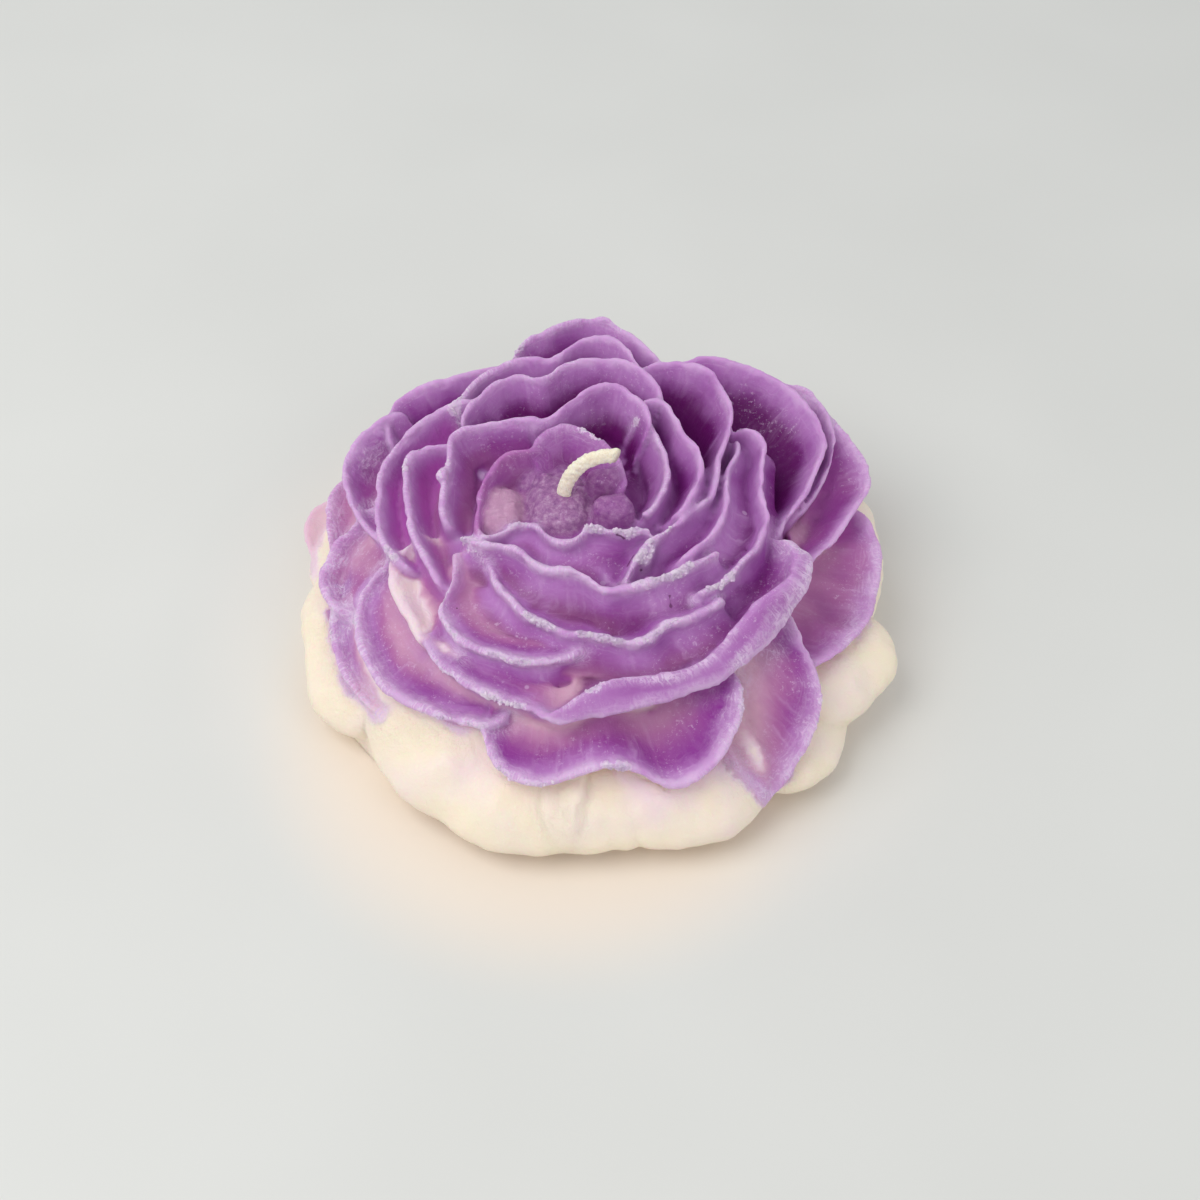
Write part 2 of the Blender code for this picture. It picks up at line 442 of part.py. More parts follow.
def largest_shell(mesh):
    """Keep the biggest connected shell and delete the small closed pockets inside it."""
    unseen = set(mesh.verts)
    shells = []
    while unseen:
        stack = [unseen.pop()]
        shell = list(stack)
        while stack:
            for edge in stack.pop().link_edges:
                for vert in edge.verts:
                    if vert in unseen:
                        unseen.remove(vert)
                        shell.append(vert)
                        stack.append(vert)
        shells.append(shell)
    shells.sort(key=len, reverse=True)
    for shell in shells[1:]:
        bmesh.ops.delete(mesh, geom=shell, context='VERTS')


def flatten_foot(mesh):
    """Slice the skin at the table and close it with a flat face."""
    cut = bmesh.ops.bisect_plane(mesh, geom=mesh.verts[:] + mesh.edges[:] + mesh.faces[:],
                                 dist=0.000001, plane_co=(0, 0, 0), plane_no=(0, 0, -1),
                                 clear_outer=True)
    rim = [item for item in cut["geom_cut"] if isinstance(item, bmesh.types.BMEdge)]
    bmesh.ops.triangle_fill(mesh, edges=rim, use_beauty=True)
    bmesh.ops.recalc_face_normals(mesh, faces=mesh.faces)


def fused_wax(collection, petals, dome):
    """Join petals and dome into one skin with a flat foot, and thin its faces out."""
    mesh = bmesh.new()
    evaluated_bmesh(petals, mesh)
    evaluated_bmesh(dome, mesh)
    data = bpy.data.meshes.new("wax_body")
    mesh.to_mesh(data)
    mesh.free()
    obj = bpy.data.objects.new("wax_body", data)
    collection.objects.link(obj)
    remesh = obj.modifiers.new("Fuse", 'REMESH')
    remesh.mode = 'VOXEL'
    remesh.voxel_size = VOXEL * MM
    smooth = obj.modifiers.new("Soften", 'SMOOTH')
    smooth.factor = 0.5
    smooth.iterations = SOFTENING_ROUNDS

    mesh = bmesh.new()
    evaluated_bmesh(obj, mesh)
    largest_shell(mesh)
    bmesh.ops.triangulate(mesh, faces=mesh.faces)
    flatten_foot(mesh)
    largest_shell(mesh)
    mesh.to_mesh(data)
    triangles = len(mesh.faces)
    mesh.free()
    obj.modifiers.clear()
    thin = obj.modifiers.new("Thin out", 'DECIMATE')
    thin.ratio = WAX_TRIANGLES / triangles

    mesh = bmesh.new()
    evaluated_bmesh(obj, mesh)
    for vert in mesh.verts:
        if abs(vert.co.z) < FOOT_SNAP * MM:
            vert.co.z = 0.0
    mesh.to_mesh(data)
    mesh.free()
    obj.modifiers.clear()
    return obj


def cutter(collection, obj):
    obj.hide_render = True
    obj.display_type = 'WIRE'
    for other in list(obj.users_collection):
        other.objects.unlink(obj)
    collection.objects.link(obj)
    return obj


def cut(obj, tool, name):
    boolean = obj.modifiers.new(name, 'BOOLEAN')
    boolean.operation = 'DIFFERENCE'
    boolean.solver = 'EXACT'
    boolean.object = tool


def wick_object(collection):
    curve = bpy.data.curves.new("wick_route", 'CURVE')
    curve.dimensions = '3D'
    curve.bevel_depth = WICK_DIAMETER * MM / 2
    curve.bevel_resolution = 2
    curve.use_fill_caps = True
    route = smooth_curve([Vector(p) * MM for p in WICK_ROUTE], WICK_STEP * MM)
    spline = curve.splines.new('POLY')
    spline.points.add(len(route) - 1)
    for point, place in zip(spline.points, route):
        point.co = (*place, 1.0)
    tube = bpy.data.objects.new("wick_tube", curve)
    collection.objects.link(tube)
    mesh = bmesh.new()
    evaluated_bmesh(tube, mesh)
    bpy.data.objects.remove(tube)
    bmesh.ops.remove_doubles(mesh, verts=mesh.verts, dist=0.00001)
    bmesh.ops.recalc_face_normals(mesh, faces=mesh.faces)
    data = bpy.data.meshes.new("wick")
    mesh.to_mesh(data)
    mesh.free()
    data.shade_smooth()
    obj = bpy.data.objects.new("wick", data)
    collection.objects.link(obj)
    return obj


def build():
    clear_scene()
    parts = new_collection("flower_candle")
    tools = new_collection("cutters", hidden=True)
    petals = cutter(tools, petals_object(parts))
    dome = cutter(tools, dome_object(parts))
    wax = fused_wax(parts, petals, dome)

    bpy.ops.mesh.primitive_cylinder_add(
        vertices=16, radius=(WICK_DIAMETER / 2 + WICK_GAP) * MM, depth=CHANNEL_LENGTH * MM,
        location=(WICK_ROOT[0] * MM, WICK_ROOT[1] * MM, CHANNEL_MIDDLE * MM))
    channel = cutter(tools, bpy.context.object)
    channel.name = "wick_channel"
    cut(wax, channel, "Wick channel")
    wax.data.materials.append(material("two_colour_wax", (0.42, 0.14, 0.52), 0.42, 0.3))

    wick = wick_object(parts)
    wick.data.materials.append(material("waxed_cotton", (0.86, 0.80, 0.62), 0.8))


build()
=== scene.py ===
"""Finish of the cast wax flower candle: fine petals with frosted rims, two-colour wax, wick.

Metres, +Z up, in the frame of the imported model. Azimuths turn from +X towards +Y.
"""
import math
import random
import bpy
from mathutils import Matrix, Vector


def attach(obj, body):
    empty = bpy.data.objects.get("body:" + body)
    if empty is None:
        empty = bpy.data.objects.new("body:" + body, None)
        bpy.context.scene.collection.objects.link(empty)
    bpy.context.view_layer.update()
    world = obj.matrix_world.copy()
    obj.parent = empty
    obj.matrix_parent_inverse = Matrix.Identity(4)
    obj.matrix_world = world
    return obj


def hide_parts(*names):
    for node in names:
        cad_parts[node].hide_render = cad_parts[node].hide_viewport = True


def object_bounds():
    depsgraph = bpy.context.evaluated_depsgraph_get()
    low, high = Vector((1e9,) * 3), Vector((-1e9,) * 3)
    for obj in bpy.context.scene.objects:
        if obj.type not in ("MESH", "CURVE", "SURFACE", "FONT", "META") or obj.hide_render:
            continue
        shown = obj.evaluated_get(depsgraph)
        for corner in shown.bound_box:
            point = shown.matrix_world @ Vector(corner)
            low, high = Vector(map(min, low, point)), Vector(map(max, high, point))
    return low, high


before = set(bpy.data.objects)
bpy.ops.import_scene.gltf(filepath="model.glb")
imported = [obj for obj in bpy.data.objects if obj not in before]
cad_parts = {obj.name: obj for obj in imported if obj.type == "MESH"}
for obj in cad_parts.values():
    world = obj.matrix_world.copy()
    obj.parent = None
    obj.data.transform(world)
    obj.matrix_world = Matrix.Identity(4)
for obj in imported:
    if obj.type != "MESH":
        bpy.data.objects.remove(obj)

from types import SimpleNamespace

import bmesh
import bpy
import numpy as np
from mathutils import Matrix, Vector, noise
from mathutils.bvhtree import BVHTree
from mathutils.kdtree import KDTree

MM = 0.001
CAD_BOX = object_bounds()

# Driving sizes of the casting, in millimetres and degrees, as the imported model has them.
FLOWER_AXIS = (-5.0, 2.0)      # the bud stands a little off the middle of the base
DOME_TILT = 6.0                # the heap of petals is higher at the back
PETAL_TIP = 1.5                # thickness of a petal at its rim
FINE_TIP = 0.68                # share of that thickness where the rims are drawn fine
BASE_TIP = 4.6
ROOT_DEPTH = 4.0               # how far a petal reaches into the wax below its faces
TUCK_IN = 3.0                  # how far a petal's side edges turn in behind their neighbours
TUCK_DOWN = 4.0
BASE_TUCK_IN = 6.0
WICK_DIAMETER = 2.2
WICK_FLATNESS = 0.66           # the braid's thickness as a share of its width
WICK_BARE_FROM = 26.5          # way along the wick where its threads start to show
WICK_BARE_OVER = 5.0           # way over which they come out in full
RUFFLE_REACH = 5.0             # how far down from the rim a petal is ruffled
FLUTE_LENGTH = 11.0            # how far down the waves on an inner face run
BASE_LAG = 0.7                 # cream wax starts this much nearer to the base's petals

# How finely everything is worked out, in millimetres and counts.
STATION_STEP = 0.7             # spacing of the sections along a petal
SECTION_STEPS = 12             # steps from a petal's foot to its crest
CURVE_STEPS = 12               # steps between two points of a curve
RIM_ANGLES = (30, 60, 90, 120, 150)
DOME_SIDES = 96
WICK_STEP = 0.16
WICK_SIDES = 36
CRACK_STEP = 0.1
SOFTEN_ROUNDS = 6
BLUR_ROUNDS = 2
SKY_REACH = 9.0                # how far away something still hides the sky from the wax
SKY_RAYS = 14
VOXEL = 0.38
WAX_TRIANGLES = 196000

# Camera: degrees above the horizon, field of view in degrees, distance in metres, shift of
# its aim in millimetres, and width of its sensor.
CAMERA_ELEVATION = 50.0
CAMERA_FIELD = 40.0
CAMERA_DISTANCE = 0.257
CAMERA_SHIFT = (1.28, 5.23)
SENSOR_WIDTH = 36.0

# The table's size in metres and its gap under the candle in millimetres, the sky, and the
# lamps: each one's place and size in metres, and its power.
TABLE_SIZE = 12.0
TABLE_GAP = 0.2
SKY_COLOUR = (0.95, 0.97, 1.0, 1.0)
SKY_STRENGTH = 0.66
LAMPS = {
    "window": ((-0.35, -0.1, 0.55), 0.55, 2.05),
    "fill": ((0.45, -0.5, 0.5), 0.6, 0.95),
}

# Screen colours. A ramp lists the place of each of its colours before it.
POURS = [(0.0, (140, 50, 146)), (0.18, (154, 74, 152)), (0.36, (180, 112, 164)),
         (0.6, (214, 168, 190)), (0.78, (236, 212, 220)), (0.88, (241, 223, 216)),
         (0.95, (243, 228, 212)), (1.0, (243, 229, 209))]
WARM_CREAM = (247, 232, 202)
# Painted shade: the deep magenta that the clefts between the petals are darkened to.
CREVICE_SHADE = (92, 4, 84)
BACKLIT = (200, 108, 196)
# Painted glow of light through the thin wax near the rims.
RIM_GLOW = (190, 134, 196)
# Painted highlight on the rims' edges, mixed with their frost.
EDGE_HIGHLIGHT_AND_FROST = (212, 172, 216)
BUD_WAX = [(0.3, (126, 78, 132)), (0.5, (158, 114, 156)), (0.7, (192, 160, 188))]
BUD_CRACK = (92, 40, 88)
STREAK = (216, 180, 218)
BLOOM = (224, 198, 226)
BLOOM_CHIPS = [(0.35, (208, 176, 212)), (0.6, (232, 210, 230))]
SPECK = (84, 40, 62)
HAIRLINE = (84, 22, 72)
COTTON = [(0.3, (226, 214, 188)), (0.6, (250, 243, 224))]
WAX_STAIN = (238, 220, 190)
TABLE_SHADES = [(0.3, (214, 214, 209)), (0.7, (218, 218, 213))]

# Light that comes through the cream foot onto the table, warmest in front: its middle,
# where it starts and ends to fade, in metres, its strength and its colour.
TABLE_GLOWS = [((-0.002, 0.002, 0), 0.042, 0.064, 0.6, (232, 227, 220)),
               ((-0.006, -0.016, 0), 0.029, 0.047, 0.5, (246, 224, 200))]

# Solid wax under the petals: radius and height, from the top of the bud to the table.
DOME = [(0.01, 25.6), (7, 25.2), (12, 24), (17, 22.6), (22, 21.2), (27, 19),
        (31, 16), (34, 12), (37, 6), (38, -6)]

# Petals from the bud outwards. Each rim is a list of (azimuth, radius, height) about the
# flower's axis. Each form is (lean, depth, rise, flare, drop): the inner face starts `lean`
# inside the rim and `depth` below it, the petal points `rise` degrees above the level at its
# rim, and the outer face ends `flare` outside the rim and `drop` below it. Several forms are
# spread evenly along the rim. A crest is the fold line of a petal whose lip turns down, aim
# the point that a petal faces where that is not the flower's axis, and tip its thickness at
# the rim. A sink is how far its side edges turn down where that is not TUCK_DOWN, and flutes
# are how many waves run down its inner face and how high they are.
PETALS = {
    # bud
    "bud_left": dict(forms=[(2, 4.5, 85, 0.8, 5)], rim=[
        (212, 12.6, 27), (203, 13, 27.5), (188, 12, 28.3), (172, 11.6, 29), (156, 11, 29.5),
        (140, 10.4, 30), (122, 9.2, 30), (108, 8.6, 29)]),
    "bud_back": dict(forms=[(4, 4, 60, 0.8, 5)], rim=[
        (120, 9.4, 29.5), (105, 10.7, 31), (88, 11.5, 31.3), (70, 10.7, 31), (52, 10, 31),
        (35, 9.7, 30.5), (20, 9.4, 29.5), (8, 9, 28.5)]),
    "bud_front": dict(forms=[(2.5, 2.5, 80, 2.6, 5.5)], aim=(-4, 14), tip=1.7, rim=[
        (211, 13, 27), (213, 10.4, 27), (213, 7.4, 27), (227, 5.6, 27), (249, 6.7, 27),
        (268, 7.4, 27), (281, 7.3, 27), (305, 6.2, 27.3), (317, 7.3, 27.3), (324, 9.1, 27.3),
        (329, 11, 27.3), (337, 12.8, 27.2), (333, 14.6, 26.6), (318, 15.4, 26)]),
    # first ring
    "ring1_left": dict(forms=[(4, 4, 68, 1.5, 6), (4, 5.5, 68, 1, 6)], tip=1.8, rim=[
        (192, 16.8, 26.5), (181, 17.2, 28), (168, 17.3, 29), (156, 18, 29.6), (147, 19.5, 30),
        (138, 18.7, 30), (128, 16.4, 30.6), (115, 14.8, 31), (104, 13.6, 30.6)]),
    "ring1_back": dict(forms=[(4, 6.5, 66, 1, 6)], rim=[
        (110, 13.4, 30), (98, 13.6, 31.2), (90, 15, 32), (79, 18.3, 32.2), (69, 20.6, 32.4),
        (60, 20, 32.2), (51, 19, 32), (42, 17, 31)]),
    "ring1_right": dict(forms=[(3.5, 5.2, 80, 1.5, 5)], rim=[
        (57, 20.5, 30), (49, 22.2, 31), (40, 21.3, 31), (30, 20, 31), (20, 20.5, 30.7),
        (10, 20, 30.2), (358, 18, 29.6), (349, 16.4, 28.3)]),
    "crescent": dict(forms=[(3, 4.2, 76, 1.5, 5)], rim=[
        (54, 17.4, 28.6), (46, 18.1, 30), (34, 16.8, 30), (20, 16, 30), (8, 15, 29.6),
        (356, 13.5, 28.8), (347, 12.2, 27.5)]),
    "ring1_front": dict(forms=[(3, 3, 78, 3.5, 5), (3, 3.6, 78, 5, 5.6)], tip=1.9, rim=[
        (211, 15, 27.3), (219, 13.5, 28), (227, 11.8, 28), (237, 11.3, 28), (248, 11.8, 27.6),
        (259, 12.3, 27.4), (270, 13, 27.8), (281, 14.2, 28), (289, 17, 27.4), (297, 18, 27.2),
        (306, 19, 27.5), (316, 20.5, 28), (326, 21.8, 28), (336, 23.6, 27.3)]),
    "spiral_inner": dict(forms=[(2.5, 3, 78, 5, 4)], rim=[
        (303, 16.2, 25.8), (317, 14.6, 26.8), (330, 14.6, 27.3), (342, 16.5, 28),
        (352, 18.4, 28.2), (1, 20.4, 27.5)]),
    "spiral_middle": dict(forms=[(3, 4, 80, 4, 4.4)], sink=9, rim=[
        (28, 28.4, 26), (22, 27.4, 27), (16, 25, 27.2), (8, 23.8, 27.6), (358, 23.4, 28),
        (348, 22.6, 28), (338, 21.2, 27.8), (326, 19.4, 26.8)]),
    "spiral_outer": dict(forms=[(3.6, 4.8, 80, 1.5, 6), (3.5, 3.6, 76, 4, 5)], sink=9, rim=[
        (32, 26.8, 26), (29, 31, 27), (23, 32, 27), (16, 30, 26.5), (7, 28.7, 26.2),
        (357, 29, 26), (348, 28.4, 26), (339, 27.1, 26), (330, 26, 25.5), (320, 24, 24.4)]),
    # second ring
    "ring2_left": dict(forms=[(4.5, 4, 60, 1.5, 6), (4.5, 6.5, 66, 1, 6)], tip=1.8, rim=[
        (217, 20.8, 23), (206, 21, 25), (192, 21.8, 26), (178, 22.3, 26.2), (166, 23.8, 27),
        (157, 24.5, 27.4), (151, 22, 28), (145, 18.6, 27.4)]),
    "ring2_back": dict(forms=[(5, 6.5, 62, 1, 6)], rim=[
        (138, 20, 28), (130, 22.6, 29), (118, 24, 30), (107, 24.5, 30.2), (99, 22.8, 30.4),
        (90, 24.8, 31), (81, 26.2, 31.2), (70, 27, 31.2), (60, 25.6, 31), (50, 22.6, 30.4)]),
    "ring2_right": dict(forms=[(9, 9, 55, 0.5, 7), (5, 8, 66, 1, 6)], rim=[
        (70, 26.5, 28), (63, 30.8, 29), (56, 33, 29.2), (49, 33.5, 29.2), (42, 32, 29),
        (35, 30.3, 29), (27, 27, 29), (18, 24, 28.8), (9, 22.4, 28.3), (1, 21, 27.3)]),
    "ring2_front": dict(forms=[(3.5, 2, 72, 3.5, 4.6), (4.5, 2.6, 72, 4.5, 4.4)], tip=2, rim=[
        (203, 15.2, 26.5), (212, 14, 26), (223, 14.2, 25), (234, 15.6, 24.5), (245, 16.8, 24.3),
        (254, 18.6, 24.2), (262, 19.4, 24.2), (271, 21, 24), (281, 21.8, 24.1),
        (290, 24, 24), (298, 25.2, 24.2), (305, 24.7, 24.8), (315, 26.3, 25), (325, 27, 24.6)]),
    # third ring
    "ring3_left": dict(forms=[(5, 3.5, 55, 0.5, 6), (5.5, 7, 62, 0.5, 6)], tip=1.8, rim=[
        (202, 23.8, 23.2), (191, 26, 24), (181, 26.8, 24), (170, 27.6, 24), (160, 28.6, 24.6),
        (148, 28, 26), (138, 27.4, 26.8), (128, 25.6, 28), (119, 23, 27.5)]),
    "ring3_back": dict(forms=[(5, 6, 60, 0.5, 7)], rim=[
        (130, 25.2, 27), (119, 28, 28), (108, 29, 29), (99, 28.5, 29.4), (92, 28.4, 29.8),
        (86, 31, 30.2), (80, 32.8, 30.2), (74, 32, 30), (66, 28, 29)]),
    "ring3_front": dict(forms=[(5, 1.6, 40, 1, 3.4)], tip=1.8, rim=[
        (208, 17, 25.4), (215, 18.5, 24.8), (221, 21, 24), (224, 23.5, 23.3), (230, 24.8, 22.8),
        (239, 25.8, 22.5), (249, 25.8, 22.5), (259, 25.6, 22.4), (268, 24.8, 22), (278, 22.6, 21)]),
    "white_petal": dict(forms=[(5, 2, 40, -0.5, 4)], tip=2.6, rim=[
        (190, 20, 23.4), (193, 22.6, 23.4), (197, 25.4, 22.7), (203, 26.3, 22), (210, 26.6, 21.2),
        (217, 27, 20.6), (225, 27.3, 20.3), (231, 27, 20), (238, 26, 19.8)]),
    "ring4_left_low": dict(forms=[(6, 0.5, 25, -1, 3)], tip=1.8, rim=[
        (225, 26.4, 20.4), (229, 28, 20.2), (234, 28.8, 19.8), (240, 29.4, 19.6),
        (247, 30.1, 19.5), (254, 30.4, 19.5),
        (262, 31.2, 19.4), (269, 32.4, 19.2), (276, 31, 18.8)]),
    "ring4_front": dict(forms=[(9.5, 1, -60, -2.5, 3.5)], tip=1.8, rim=[
        (264, 31.6, 18.4), (270, 32.6, 18.5), (277, 32.3, 19), (287, 32.4, 19.4),
        (296, 32.9, 19.5), (304, 33.6, 19.5), (311, 34.3, 19.6), (318, 34.5, 20),
        (326, 35.1, 20.6), (334, 35.4, 21.4), (341, 36, 22.2), (348, 35.6, 22.8), (353, 32, 22.8)],
        crest=[
        (266, 31.4, 19.4), (268, 31.8, 20.4), (273, 30.4, 22), (281, 28.8, 22.5), (291, 29.4, 22.5),
        (298, 31, 22.5), (304, 31.4, 22.6), (311, 31.2, 23), (318, 31, 24.2), (326, 31.4, 25),
        (334, 33.4, 24.9), (342, 34.6, 24.6), (350, 32, 24)]),
    # outer petals
    "back_high": dict(forms=[(7, 7, 56, -2, 8)], rim=[
        (108, 30.5, 25), (102, 34.2, 27), (96, 36, 28), (89, 38, 28.2), (82, 39.3, 28.2),
        (76, 37.4, 28), (69, 35, 27.4), (62, 33, 26)]),
    "back_left": dict(forms=[(7, 6, 50, -2, 7)], rim=[
        (144, 34, 20.5), (136, 37.3, 21.6), (128, 36.4, 23), (118, 34.4, 24), (108, 33, 25),
        (98, 33, 24)]),
    "left_high": dict(forms=[(6, 3, 48, -1.5, 6), (8, 6.5, 50, -1.5, 6)], tip=1.9, rim=[
        (191, 23.5, 20.6), (182, 27.5, 21), (172, 31, 20.6), (161, 35, 20.2), (152, 37.2, 20.3),
        (144, 36.9, 21.4), (136, 35, 21.6)]),
    "right_bowl": dict(forms=[(9, 8, 54, -1.5, 7), (13, 8.5, 46, -1.5, 7),
                              (10, 8, 54, -1, 6)], rim=[
        (64, 34, 24.5), (57, 38.4, 26), (48, 41.6, 25.6), (40, 43.4, 24.7), (31, 43.8, 24),
        (22, 42.2, 23.4), (13, 37.6, 22.6), (5, 33.4, 22), (354, 30, 21.6)]),
    "right_behind": dict(forms=[(9, 7, 55, -3, 7)], rim=[
        (46, 44.5, 20.8), (38, 48, 21.4), (30, 47, 21.2), (22, 43.8, 20.8), (14, 39.2, 20),
        (7, 34.4, 19.4)]),
    "right_tip": dict(forms=[(10, 4, 30, -4, 6)], flutes=(4, 0.3), rim=[
        (50, 43, 20.4), (40, 47.4, 20.8), (31, 48.2, 20.2), (23, 48.6, 19.2), (16, 48.4, 18),
        (10, 44.4, 17.8), (3, 40.6, 17.6), (355, 35.8, 17.6)]),
    "left_ear": dict(forms=[(8, 1.5, 30, -3.5, 5)], tip=1.8, rim=[
        (166, 28.5, 19), (174, 31.4, 18.8), (178, 34, 16.6), (185, 36, 15.2), (190, 35.6, 14.4),
        (197, 33.6, 13.6)]),
    "left_behind": dict(forms=[(8, 3, 35, -3, 6)], rim=[
        (147, 34, 17), (155, 36.8, 16.6), (162, 38, 15.2), (168, 36.8, 13.4), (175, 34.8, 12.4)]),
    "left_tip": dict(forms=[(10, 2, 30, -4, 5)], rim=[
        (150, 36, 10.6), (156, 40.7, 10), (160, 42.8, 9), (166, 41.4, 8.2), (173, 38.4, 8),
        (181, 35.4, 8)]),
    "left_front": dict(forms=[(7, 1, 35, -2, 4), (7, 0, 28, -3, 4)], tip=2, rim=[
        (189, 24, 20.8), (195, 28, 19.6), (199, 31, 17.6), (206, 32.8, 16.6), (215, 33.8, 15.8),
        (225, 34.5, 15.1), (237, 33.4, 15), (250, 32.8, 15.8), (256, 31, 16)]),
    "left_front_low": dict(forms=[(7, -1.5, 30, -3, 4)], tip=1.8, rim=[
        (188, 33.6, 14), (194, 34.8, 13), (199, 35.7, 12.2), (204, 36.2, 11.6), (208, 36.3, 11),
        (214, 36.3, 10.4), (222, 36, 10), (228, 34.9, 10), (236, 33.2, 10.4), (244, 31.8, 11)]),
    "front": dict(forms=[(9, -3, 8, -4, 4), (12.5, -2.8, 4, -4, 4)], tip=2, rim=[
        (251, 32.6, 15.8), (253, 35, 14.8), (257, 37.4, 13.8), (263, 39, 13.3), (270, 38.8, 13.7),
        (278, 38, 15.5), (284, 38.6, 14.8), (291, 41.6, 12.7), (297, 42.4, 14), (303, 41.4, 16.2),
        (309, 39, 17.2), (315, 35, 18)]),
    "front_right": dict(forms=[(13, -2.5, 10, -4, 4), (14, -8.5, -50, -4, 3)], tip=1.9,
                        flutes=(3, 0.35), rim=[
        (338, 34, 18.4), (332, 38.6, 17), (326, 43.2, 15), (321, 45.4, 12), (315, 46.1, 9),
        (309, 46, 5.6), (307, 43.8, 7.4),
        (305, 40.6, 10.4)]),
    "right": dict(forms=[(14, -2.5, 12, -6, 4)], flutes=(6, 0.55), rim=[
        (19, 41, 15), (12, 46.4, 14.2), (5, 47.4, 14), (358, 46.7, 13.6), (350, 45.9, 13.5),
        (343, 44.6, 13.8), (336, 42.6, 14.5), (328, 40, 15.2)]),
    # outer petals of the far side
    "back_outer": dict(forms=[(9, 2, 38, -4, 6)], rim=[
        (66, 36, 17), (74, 39.4, 18.5), (84, 41, 17.4), (95, 40, 18.2), (104, 38.4, 17.5),
        (112, 35, 16.4)]),
    "back_left_outer": dict(forms=[(8, 2, 38, -4, 6)], rim=[
        (104, 35.6, 15), (114, 38.4, 16.4), (124, 39.6, 15.2), (134, 39.4, 14.4),
        (144, 38.6, 14.6), (152, 35.6, 14)]),
    "back_right_outer": dict(forms=[(9, 2, 38, -4, 6)], rim=[
        (38, 42.4, 13), (46, 45, 14.6), (55, 44.6, 13.6), (64, 43, 14.8), (72, 39.6, 14)]),
    "back_low_left": dict(forms=[(9, -1, 15, -4, 4)], rim=[
        (98, 38.6, 10), (108, 40.6, 10.4), (119, 41, 9.2), (130, 41.4, 9.8), (140, 39, 9.2)]),
    "back_low_right": dict(forms=[(9, -1, 15, -4, 4)], rim=[
        (56, 42, 8.6), (66, 42.8, 9.8), (77, 42, 8.8), (88, 41, 9.8), (98, 38, 9)]),
}

# Cream petals of the base, which droop from under the purple ones to the table.
BASE_PETALS = {
    "base_left": dict(forms=[(11, -4, -55, -3, 6)], flutes=(3, 0.3), rim=[
        (172, 34, 7), (182, 37, 6.4), (189, 38.4, 5.8), (198, 38.8, 4.6), (207, 40.2, 3.6),
        (214, 39, 2.8), (221, 36.6, 2.4)]),
    "base_front_left": dict(forms=[(14, -9, -62, -3, 6)], flutes=(5, 0.5), rim=[
        (219, 34.5, 4.6), (225, 37, 3.8), (232, 39.4, 3.4), (241, 40.6, 3), (250, 41.8, 2.6),
        (259, 43, 2.4), (267, 42.8, 2.4), (275, 41, 3)]),
    "base_front": dict(forms=[(13, -8, -62, -3, 6)], rim=[
        (266, 41, 3), (272, 42.4, 2.5), (278, 42.7, 2.4), (284, 42.4, 2.5), (289, 40.6, 3)]),
    "base_front_right": dict(forms=[(15, -9, -58, -3, 6)], flutes=(4, 0.35), rim=[
        (282, 41, 3), (287, 43.8, 2.5), (293, 45.4, 2.4), (300, 45.9, 2.5), (306, 45.4, 3),
        (312, 43.4, 4)]),
    "base_right": dict(forms=[(14, -6, -50, -3, 6)], flutes=(2, 0.5), rim=[
        (309, 43, 3.4), (315, 46.6, 2.8), (321, 47.6, 2.6), (327, 46.8, 2.8), (333, 44, 3.4)]),
    "base_right_side": dict(forms=[(14, -5, -45, -3, 6)], rim=[
        (325, 43.6, 6), (331, 46.8, 5.4), (338, 49, 5.4), (345, 49.4, 6), (351, 46, 6.4)]),
    "base_right_back": dict(forms=[(14, -5, -50, -3, 6)], rim=[
        (348, 44, 6), (356, 46, 6.4), (5, 47.6, 6), (13, 48.8, 6.4), (20, 48.8, 6.6),
        (28, 46, 6)]),
    "base_back_right": dict(forms=[(14, -7, -55, -3, 6)], rim=[
        (24, 44, 4.4), (34, 47, 3.8), (45, 47, 3.4), (56, 45, 3.6), (66, 42.6, 3.4),
        (74, 39.6, 3.8)]),
    "base_back": dict(forms=[(13, -7, -55, -3, 6)], rim=[
        (68, 39.6, 3.6), (78, 42, 3), (90, 41.6, 3.2), (102, 40.4, 3), (112, 38, 3.6)]),
    "base_back_left": dict(forms=[(12, -6, -55, -3, 6)], rim=[
        (106, 37.6, 4), (118, 40.4, 3.2), (130, 40.8, 3.4), (142, 39.8, 3.2), (152, 37.6, 3.8),
        (160, 34.6, 4.6)]),
    "base_left_back": dict(forms=[(12, -5, -55, -3, 6)], rim=[
        (150, 35, 5.4), (158, 38, 4.6), (167, 39, 4.6), (176, 37.6, 5), (184, 34.6, 6)]),
}

# Soft lumps of wax around the wick: azimuth, radius and height of the middle, and half sizes.
LUMPS = {
    "pillow": ((351, 7.3, 26), (3, 2.2, 2.6)),
    "fold": ((28, 6.8, 27.3), (2.8, 1.4, 2.6)),
    "floor": ((120, 1.4, 24.5), (4.2, 5.4, 2.9)),
    "smooth_patch": ((183, 8.8, 24.6), (2.8, 4.4, 2.7)),
    "floor_back": ((110, 6.4, 25), (4, 2.4, 1.8)),
}
CUSHION = 2.8                  # 2 would make the lumps ellipsoids, more makes them boxier

# Beads of wax: azimuth, radius and height, and radius of the bead.
BEADS = [
    ((168, 17.6, 28.9), 1.15), ((166, 18.2, 27.6), 0.7), ((347, 12, 27.4), 0.8),
    ((312, 17.8, 25.4), 0.7), ((118, 5.6, 27), 0.6), ((186, 7, 27.2), 0.5),
]

# The wick's route through the wax and where it bends over above it.
WICK_ROUTE = [(-4.8, 3.3, 0.6), (-4.8, 3.3, 14), (-4.8, 3.3, 26.6), (-4.7, 3.4, 28.2),
              (-4, 3.7, 30.2), (-3, 3.9, 31.8), (-1.6, 4.1, 33), (0.2, 4.2, 33.8),
              (1.9, 4.1, 34.2), (2.6, 4, 34.3)]

